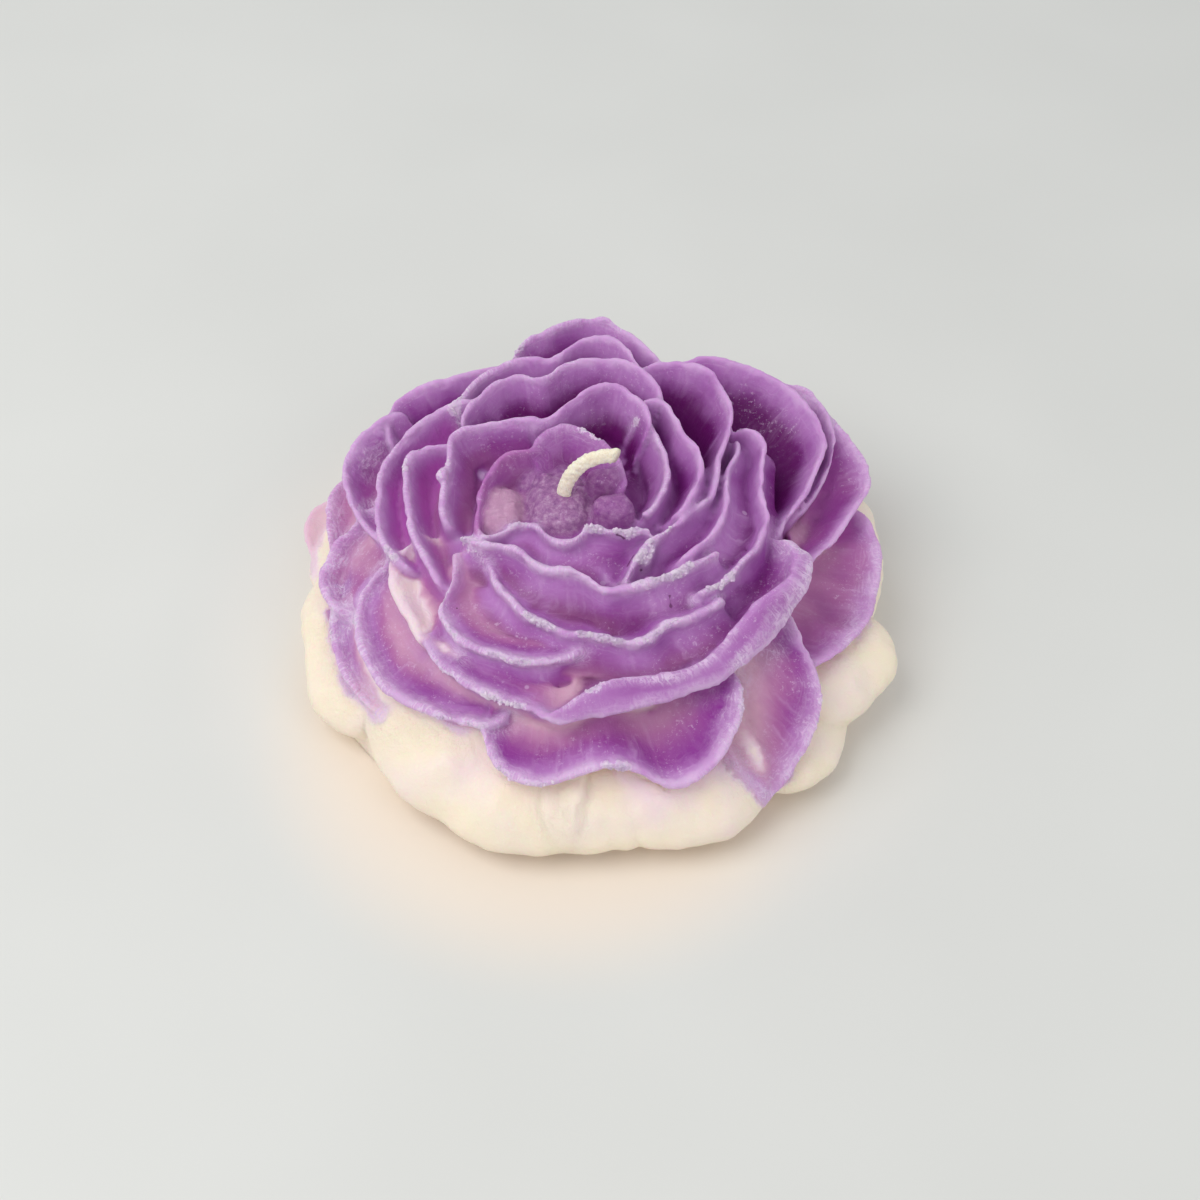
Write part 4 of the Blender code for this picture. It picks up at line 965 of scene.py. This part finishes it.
def cloudiness(data, size, shift):
    """Soft noise at each vertex, about 0.5, of features about `size` millimetres long."""
    shift = Vector((shift,) * 3)
    return [0.5 + 0.4 * noise.noise(vert.co / (size * MM) + shift)
            + 0.15 * noise.noise(vert.co / (0.4 * size * MM) + shift) for vert in data.vertices]


def fuse_wax(samples):
    """Petals, dome and lumps fused into one fine skin that stands flat on the table."""
    mesh = bmesh.new()
    for name, spec in {**PETALS, **BASE_PETALS}.items():
        add_petal(mesh, samples, name, spec)
    add_lumps(mesh, samples)
    bmesh.ops.recalc_face_normals(mesh, faces=mesh.faces)
    add_dome(mesh)
    wax = to_object("wax_casting", mesh)
    fuse = wax.modifiers.new("Fuse", 'REMESH')
    fuse.mode = 'VOXEL'
    fuse.voxel_size = VOXEL * MM
    soften = wax.modifiers.new("Soften", 'SMOOTH')
    soften.factor = 0.5
    soften.iterations = SOFTEN_ROUNDS
    apply_modifiers(wax)

    mesh = bmesh.new()
    mesh.from_mesh(wax.data)
    keep_largest_shell(mesh)
    bmesh.ops.triangulate(mesh, faces=mesh.faces)
    flatten_foot(mesh)
    keep_largest_shell(mesh)
    mesh.to_mesh(wax.data)
    triangles = len(mesh.faces)
    mesh.free()

    wax_relief(wax.data, read_samples(wax.data, samples), crust_share(wax.data, samples))
    thin = wax.modifiers.new("Thin out", 'DECIMATE')
    thin.ratio = min(1.0, WAX_TRIANGLES / triangles)
    apply_modifiers(wax)
    return wax


def make_wax(samples):
    """The casting, with the attributes that its material reads."""
    wax = fuse_wax(samples)
    data = wax.data
    attributes = dict(zip(COLUMNS, blur(data, read_samples(data, samples)).T))
    del attributes["base"]
    attributes["open"] = blur(data, openness(data)[:, None])[:, 0]
    for name, (size, shift) in CLOUDS.items():
        attributes[name] = cloudiness(data, size, shift)
    attributes["crust"] = crust_share(data, samples)
    attributes["silver"] = silver_share(data, samples)
    attributes["crack"] = crack_distance(wax)
    for name, values in attributes.items():
        layer = data.attributes.new(name, 'FLOAT', 'POINT')
        layer.data.foreach_set("value", np.ascontiguousarray(values, dtype=np.float32))
    data.shade_smooth()
    return wax


class Value:
    """What a node puts out. Arithmetic on it adds the nodes that work the result out."""

    def __init__(self, nodes, socket):
        self.nodes = nodes
        self.socket = socket

    def __add__(self, other):
        return self.nodes.math('ADD', self, other)

    def __sub__(self, other):
        return self.nodes.math('SUBTRACT', self, other)

    def __rsub__(self, other):
        return self.nodes.math('SUBTRACT', other, self)

    def __mul__(self, other):
        return self.nodes.math('MULTIPLY', self, other)

    def __truediv__(self, other):
        return self.nodes.math('DIVIDE', self, other)

    def eased(self, low, high, to_low=0.0, to_high=1.0):
        """Smooth step from `to_low`, where the value is `low`, to `to_high` at `high`."""
        return self.nodes.add("ShaderNodeMapRange", {
            "Value": self, "From Min": low, "From Max": high, "To Min": to_low,
            "To Max": to_high}, clamp=True, interpolation_type='SMOOTHSTEP')


class Nodes:
    """Short-hand for building a material's node tree, with sizes in millimetres."""

    def __init__(self, name):
        self.material = bpy.data.materials.new(name)
        self.material.use_nodes = True
        self.tree = self.material.node_tree
        self.shader = self.tree.nodes["Principled BSDF"]

    def feed(self, node, inputs):
        """Join values to a node's inputs, and set the inputs that have a constant."""
        for key, value in inputs.items():
            if isinstance(value, Value):
                self.tree.links.new(value.socket, node.inputs[key])
            else:
                node.inputs[key].default_value = value

    def add(self, kind, inputs, output=0, **settings):
        """Add a node and give one of its outputs."""
        node = self.tree.nodes.new(kind)
        for key, value in settings.items():
            setattr(node, key, value)
        self.feed(node, inputs)
        return Value(self, node.outputs[output])

    def math(self, operation, first, second):
        return self.add("ShaderNodeMath", {0: first, 1: second}, operation=operation)

    def largest(self, first, *others):
        for other in others:
            first = self.math('MAXIMUM', first, other)
        return first

    def attribute(self, name):
        return self.add("ShaderNodeAttribute", {}, "Fac", attribute_name=name)

    def position(self):
        return self.add("ShaderNodeTexCoord", {}, "Object")

    def noise(self, size, detail=2.0, rough=0.5, vector=None):
        """Noise with features about `size` millimetres long, from 0 to 1."""
        return self.add("ShaderNodeTexNoise", {
            "Scale": 1 / (size * MM), "Detail": detail, "Roughness": rough,
            "Vector": vector or self.position()}, "Fac")

    def streaks(self, along, down):
        """Noise drawn out along a petal's rim and down from it."""
        vector = self.add("ShaderNodeCombineXYZ", {
            "X": self.attribute("along") / (along / MM), "Y": self.attribute("down") / (down / MM)})
        return self.noise(1.0, detail=3.0, vector=vector)

    def dots(self, spacing, radius, kept):
        """1 on sparse round dots, where only that share of the cells has one."""
        away = self.add("ShaderNodeTexVoronoi", {
            "Scale": 1 / (spacing * MM), "Vector": self.position()}, "Distance")
        cell = self.add("ShaderNodeSeparateColor", {
            "Color": Value(self, away.socket.node.outputs["Color"])})
        inside = away.eased(0.8 * radius / spacing, 1.2 * radius / spacing, 1.0, 0.0)
        return inside * self.math('LESS_THAN', cell, kept)

    def cracks(self, size):
        """Distance to the nearest border of warped cells about `size` millimetres across."""
        warp = self.add("ShaderNodeTexNoise", {
            "Scale": 2 / (size * MM), "Vector": self.position()}, "Color")
        bent = self.add("ShaderNodeVectorMath", {
            0: warp, 1: (0.3 * size * MM,) * 3, 2: self.position()}, operation='MULTIPLY_ADD')
        return self.add("ShaderNodeTexVoronoi", {
            "Scale": 1 / (size * MM), "Vector": bent}, "Distance", feature='DISTANCE_TO_EDGE')

    def ramp(self, value, stops):
        """Colour read from stops of (place, screen colour)."""
        colour = self.add("ShaderNodeValToRGB", {"Fac": value})
        elements = colour.socket.node.color_ramp.elements
        while len(elements) < len(stops):
            elements.new(0.5)
        for element, (place, paint) in zip(elements, stops):
            element.position = place
            element.color = srgb(*paint)
        return colour

    def mix(self, share, first, second):
        """Go that share of the way to a second colour, which may be a screen colour."""
        if isinstance(second, tuple):
            second = srgb(*second)
        return self.add("ShaderNodeMix", {"Factor": share, 6: first, 7: second}, 2,
                        data_type='RGBA')

    def bump(self, height, distance):
        return self.add("ShaderNodeBump", {
            "Strength": 1.0, "Distance": distance * MM, "Height": height})


def wax_look(nodes):
    """The casting's attributes, and what the layers of its material share."""
    look = SimpleNamespace(**{name: nodes.attribute(name) for name in (
        "tone", "down", "side", "dark", "frost", "open", "bud", "clouds", "mottle", "patches",
        "crust", "silver", "crack")})
    look.grain = nodes.noise(0.9, detail=4.0, rough=0.7)
    look.fine_grain = nodes.noise(0.6, detail=4.0, rough=0.8)
    look.purple = look.tone.eased(0.3, 0.75, 1.0, 0.0)
    look.facing = look.open.eased(0.3, 0.8) * look.purple
    look.plates = nodes.cracks(PLATE_SIZE) + look.mottle.eased(0.35, 0.5, 0.0, 0.2)
    return look


def two_pours(nodes, look):
    """Purple that runs out through mauve and pink into cream, with soft clouds."""
    pour = look.tone + (look.clouds - 0.5) * 0.3
    warm = pour.eased(0.88, 1.0) * look.clouds.eased(0.4, 0.65, 0.0, 0.3)
    return nodes.mix(warm, nodes.ramp(pour, POURS), WARM_CREAM)


def with_crevice_shade(nodes, look, colour):
    """Painted shade: deep magenta purple between the petals, far down from the rim or out of the
    light.
    """
    # Painted shade where little of the sky is seen, and deeper down the faces.
    sky_shade = look.open.eased(0.05, 0.7, 0.95, 0.0)
    low = look.down.eased(1.0, 6.0, 0.0, 0.8)
    deep = nodes.largest(sky_shade, low) * look.purple * look.dark.eased(0.0, 1.0, 0.15, 1.0)
    colour = nodes.mix(deep, colour, CREVICE_SHADE)
    # Light that comes through the thin paler petals brightens the clefts between them.
    pale = look.dark.eased(0.0, 0.5, 1.0, 0.0)
    return nodes.mix(look.open.eased(0.15, 0.7, 0.9, 0.0) * look.purple * pale, colour, BACKLIT)


def with_rim_glow_and_edge_highlight(nodes, look, colour):
    """Painted glow of light through thin wax some millimetres down both faces, and painted
    highlight with frost on the edges.
    """
    frosted = look.frost.eased(0.0, 0.3, 0.2, 1.0)
    reach = look.dark.eased(0.0, 0.9, 4.0, 6.5) * look.side.eased(-0.6, 0.6, 1.1, 1.0)
    # Painted glow of light through the thin wax near the rim, stronger on frosted rims.
    thin = 1.0 - look.down / reach + (look.patches - 0.5) * 0.8
    thin = thin.eased(0.1, 0.95, 0.0, 0.85) * look.purple * frosted
    colour = nodes.mix(thin, colour, RIM_GLOW)
    # Painted highlight on the edges, together with their frost.
    near = 1.0 - look.down / look.dark.eased(0.0, 0.9, 2.0, 1.5) + (look.mottle - 0.5) * 1.3
    near = near.eased(0.1, 1.2, 0.0, 0.6) * look.purple * frosted
    return nodes.mix(near, colour, EDGE_HIGHLIGHT_AND_FROST)


def with_bud(nodes, look, colour):
    """Translucent, greyer wax in the bud's hollow, split into plates."""
    plates = nodes.ramp(look.grain, BUD_WAX)
    plates = nodes.mix(look.plates.eased(0.0, 0.04, 0.45, 0.0), plates, BUD_CRACK)
    return nodes.mix(look.bud * 0.85, colour, plates)


def with_streaks(nodes, look, colour):
    """Brushed streaks along the rims, and others running down the open faces."""
    brushed = nodes.streaks(7.0, 0.6).eased(0.5, 0.75) * look.down.eased(0.5, 5.0, 0.3, 0.0)
    running = nodes.streaks(0.9, 8.0).eased(0.4, 0.8) * look.patches.eased(0.42, 0.65, 0.06, 0.28)
    return nodes.mix(nodes.largest(brushed, running) * look.facing, colour, STREAK)


def silvery(nodes, look):
    """Crackle of fine scratches, haze and scales beside the crusts."""
    scratches = nodes.streaks(3.0, 0.35).eased(0.5, 0.68, 0.3, 0.9)
    haze = look.fine_grain.eased(0.5, 0.62, 0.25, 1.0)
    scales = nodes.streaks(0.4, 1.8).eased(0.47, 0.57) * look.side.eased(-0.6, 0.6, 1.0, 0.15)
    covered = look.silver * look.mottle.eased(0.35, 0.6, 0.5, 1.0)
    covered = covered * nodes.largest(scratches, haze, scales)
    return covered * look.tone.eased(0.7, 0.95, 1.0, 0.0)


def white_bloom(nodes, look):
    """How much bloom there is: crusts, silvery patches, frosted edges, fine dust, bubbles."""
    edge = look.down.eased(0.1, 0.9, 0.6, 0.0) * look.frost
    edge = edge * look.patches.eased(0.4, 0.6, 0.1, 1.0)
    crust = (look.crust + (look.grain - 0.5) * 3.0).eased(0.55, 0.85, 0.0, 0.95)
    crust = crust * look.crust.eased(0.0, 0.4)
    dust = look.fine_grain.eased(0.56, 0.64) * look.clouds.eased(0.42, 0.62, 0.06, 0.45)
    dust = nodes.largest(dust, nodes.dots(5.0, 0.42, 0.35) * 0.4) * look.facing
    return nodes.largest(crust, silvery(nodes, look), edge, dust)


def wax_grain(nodes, look):
    """Height of the relief that is finer than the mesh, in millimetres."""
    height = look.grain * 0.13 + nodes.streaks(0.9, 7.0) * 0.10
    height = height + look.grain * nodes.largest(look.crust, look.silver) * 0.3
    return height + look.plates.eased(0.0, 0.06) * look.bud * 0.07


def wax_material():
    nodes = Nodes("two_colour_wax")
    look = wax_look(nodes)
    colour = two_pours(nodes, look)
    for layer in (with_crevice_shade, with_rim_glow_and_edge_highlight, with_bud, with_streaks):
        colour = layer(nodes, look, colour)
    bloom = white_bloom(nodes, look)
    colour = nodes.mix(bloom, colour, BLOOM)
    specks = nodes.dots(4.0, 0.14, 0.2) * look.open.eased(0.3, 0.6, 0.0, 0.8)
    colour = nodes.mix(specks, colour, SPECK)
    colour = nodes.mix(look.crack.eased(0.12, 0.32, 0.75, 0.0), colour, HAIRLINE)
    nodes.feed(nodes.shader, {
        "Base Color": colour, "Roughness": bloom.eased(0.0, 0.8, 0.42, 0.75),
        "Normal": nodes.bump(wax_grain(nodes, look), 1.0), "Subsurface Weight": 0.45,
        "Subsurface Radius": (1.0, 0.45, 0.8), "Subsurface Scale": 1.5 * MM, "IOR": 1.44,
        "Specular IOR Level": 0.18})
    return nodes.material


def bloom_material():
    nodes = Nodes("wax_bloom")
    nodes.feed(nodes.shader, {
        "Base Color": nodes.ramp(nodes.noise(1.6, detail=3.0), BLOOM_CHIPS), "Roughness": 0.7,
        "Subsurface Weight": 0.3, "Subsurface Radius": (1.0, 0.7, 0.9),
        "Subsurface Scale": 0.8 * MM, "Specular IOR Level": 0.3})
    return nodes.material


def cotton_material():
    nodes = Nodes("waxed_cotton")
    fibres = nodes.noise(0.35, detail=4.0, rough=0.7)
    stain = nodes.noise(3.0).eased(0.45, 0.7, 0.0, 0.35)
    nodes.feed(nodes.shader, {
        "Base Color": nodes.mix(stain, nodes.ramp(fibres, COTTON), WAX_STAIN), "Roughness": 0.7,
        "Normal": nodes.bump(fibres, 0.08), "Subsurface Weight": 0.25,
        "Subsurface Radius": (1.0, 0.8, 0.5), "Subsurface Scale": 1.0 * MM})
    return nodes.material


def table_material():
    nodes = Nodes("pale_table")
    shade = nodes.ramp(nodes.noise(60.0), TABLE_SHADES)
    for middle, near, far, strength, tint in TABLE_GLOWS:
        away = nodes.add("ShaderNodeVectorMath", {0: nodes.position(), 1: middle}, "Value",
                     operation='DISTANCE')
        shade = nodes.mix(away.eased(near, far, strength, 0.0), shade, tint)
    nodes.feed(nodes.shader, {"Base Color": shade, "Roughness": 0.6})
    return nodes.material


def add_chip(mesh, draw, spot, turn, length):
    """A thin plate with a jagged outline, its foot sunk in the wax."""
    corners = draw.randint(7, 10)
    narrow = draw.uniform(0.5, 0.9)
    thick = length * draw.uniform(0.08, 0.22)
    low, high = [], []
    for k in range(corners):
        angle = 2 * math.pi * (k + draw.uniform(-0.3, 0.3)) / corners
        radius = 0.5 * length * draw.uniform(0.5, 1.0)
        corner = Vector((math.cos(angle) * radius, math.sin(angle) * radius * narrow, -0.15))
        low.append(mesh.verts.new(spot + turn @ corner * MM))
        corner = Vector((corner.x * 0.85, corner.y * 0.85, thick * draw.uniform(0.5, 1.1)))
        high.append(mesh.verts.new(spot + turn @ corner * MM))
    top = mesh.verts.new(spot + turn @ Vector((0, 0, thick * 1.2)) * MM)
    bottom = mesh.verts.new(spot - turn @ Vector((0, 0, 0.25)) * MM)
    for k in range(corners):
        after = (k + 1) % corners
        mesh.faces.new((low[k], low[after], high[after], high[k]))
        mesh.faces.new((high[k], high[after], top))
        mesh.faces.new((low[after], low[k], bottom))


def make_flakes(wax, samples):
    """Chips of white bloom that stand on the rims, each a small closed body set in the wax."""
    tree = BVHTree.FromObject(wax, bpy.context.evaluated_depsgraph_get())
    draw = random.Random(CHIP_SEED)
    mesh = bmesh.new()
    for place, length in crust_spots(samples):
        spot, normal = tree.find_nearest(place)[:2]
        if normal.z < 0.0:
            continue
        lean = Vector([draw.gauss(0, 0.15) for _ in range(3)])
        turn = (normal + lean).normalized().to_track_quat('Z', 'Y').to_matrix()
        turn = turn @ Matrix.Rotation(draw.uniform(0, 2 * math.pi), 3, 'Z')
        add_chip(mesh, draw, spot, turn, length)
    return to_object("wax_bloom", mesh)


def make_wick():
    """Flat cotton braid soaked in wax, with fine ragged edges and a slanting cut end."""
    route = smooth_curve([Vector(p) * MM for p in WICK_ROUTE], WICK_STEP * MM)
    mesh = bmesh.new()
    rings = []
    side = Vector((0.25, 1, 0))
    for i, point in enumerate(route):
        ahead = (route[min(i + 1, len(route) - 1)] - route[max(i - 1, 0)]).normalized()
        side = (side - ahead * side.dot(ahead)).normalized()
        other = ahead.cross(side)
        run = i * WICK_STEP
        bare = min(1.0, max(0.0, (run - WICK_BARE_FROM) / WICK_BARE_OVER))
        ring = []
        for k in range(WICK_SIDES):
            angle = 2 * math.pi * k / WICK_SIDES
            braid = math.sin(2 * angle + run * 2.6) * math.sin(2 * angle - run * 2.6)
            spoke = side * math.cos(angle) * WICK_FLATNESS + other * math.sin(angle)
            place = point + spoke * WICK_DIAMETER / 2 * MM
            radius = WICK_DIAMETER / 2 * (0.95 + 0.05 * bare * braid)
            radius += 0.07 * wobble(place, 1.1) + bare * wobbles(place, (0.2, 0.6), (0.12, 0.25))
            slant = ahead * 0.5 * math.cos(angle - 0.6) * max(0.0, 1 - (len(route) - 1 - i) / 8)
            ring.append(mesh.verts.new(point + (spoke * radius + slant) * MM))
        rings.append(ring[::-1])
    loft(mesh, rings)
    bmesh.ops.triangulate(mesh, faces=mesh.faces)
    bmesh.ops.recalc_face_normals(mesh, faces=mesh.faces)
    wick = to_object("wick_cotton", mesh)
    wick.data.shade_smooth()
    return wick


def make_table():
    bpy.ops.mesh.primitive_plane_add(size=TABLE_SIZE, location=(0, 0, -TABLE_GAP * MM))
    table = bpy.context.object
    table.name = "table"
    table.data.materials.append(table_material())


def make_light():
    """Soft pale sky, with window light from the left and a weaker fill from the front right."""
    world = bpy.data.worlds.new("soft_sky")
    bpy.context.scene.world = world
    world.use_nodes = True
    sky = world.node_tree.nodes["Background"]
    sky.inputs["Color"].default_value = SKY_COLOUR
    sky.inputs["Strength"].default_value = SKY_STRENGTH
    for name, (place, size, power) in LAMPS.items():
        light = bpy.data.lights.new(name, 'AREA')
        light.shape = 'DISK'
        light.size = size
        light.energy = power
        lamp = link(name, light)
        lamp.location = place
        lamp.rotation_euler = (-Vector(place)).to_track_quat('-Z', 'Y').to_euler()


def make_camera():
    low, high = CAD_BOX
    aim = Vector(((low.x + high.x) / 2 + CAMERA_SHIFT[0] * MM,
                  (low.y + high.y) / 2 + CAMERA_SHIFT[1] * MM, 0.0))
    tilt = math.radians(CAMERA_ELEVATION)
    back = Vector((0, -math.cos(tilt), math.sin(tilt)))
    camera = link("camera", bpy.data.cameras.new("camera"))
    camera.data.sensor_width = SENSOR_WIDTH
    camera.data.lens = SENSOR_WIDTH / 2 / math.tan(math.radians(CAMERA_FIELD / 2))
    camera.data.clip_start = 0.01
    camera.location = aim + back * CAMERA_DISTANCE
    camera.rotation_euler = (-back).to_track_quat('-Z', 'Y').to_euler()
    bpy.context.scene.camera = camera
    bpy.context.scene.view_settings.view_transform = 'Standard'


make_table()
make_light()
make_camera()

samples = Samples()
wax = make_wax(samples)
wax.data.materials.append(wax_material())
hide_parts("wax_body")
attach(wax, "root")

flakes = make_flakes(wax, samples)
flakes.data.materials.append(bloom_material())
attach(flakes, "root")

wick = make_wick()
wick.data.materials.append(cotton_material())
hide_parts("wick")
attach(wick, "root")
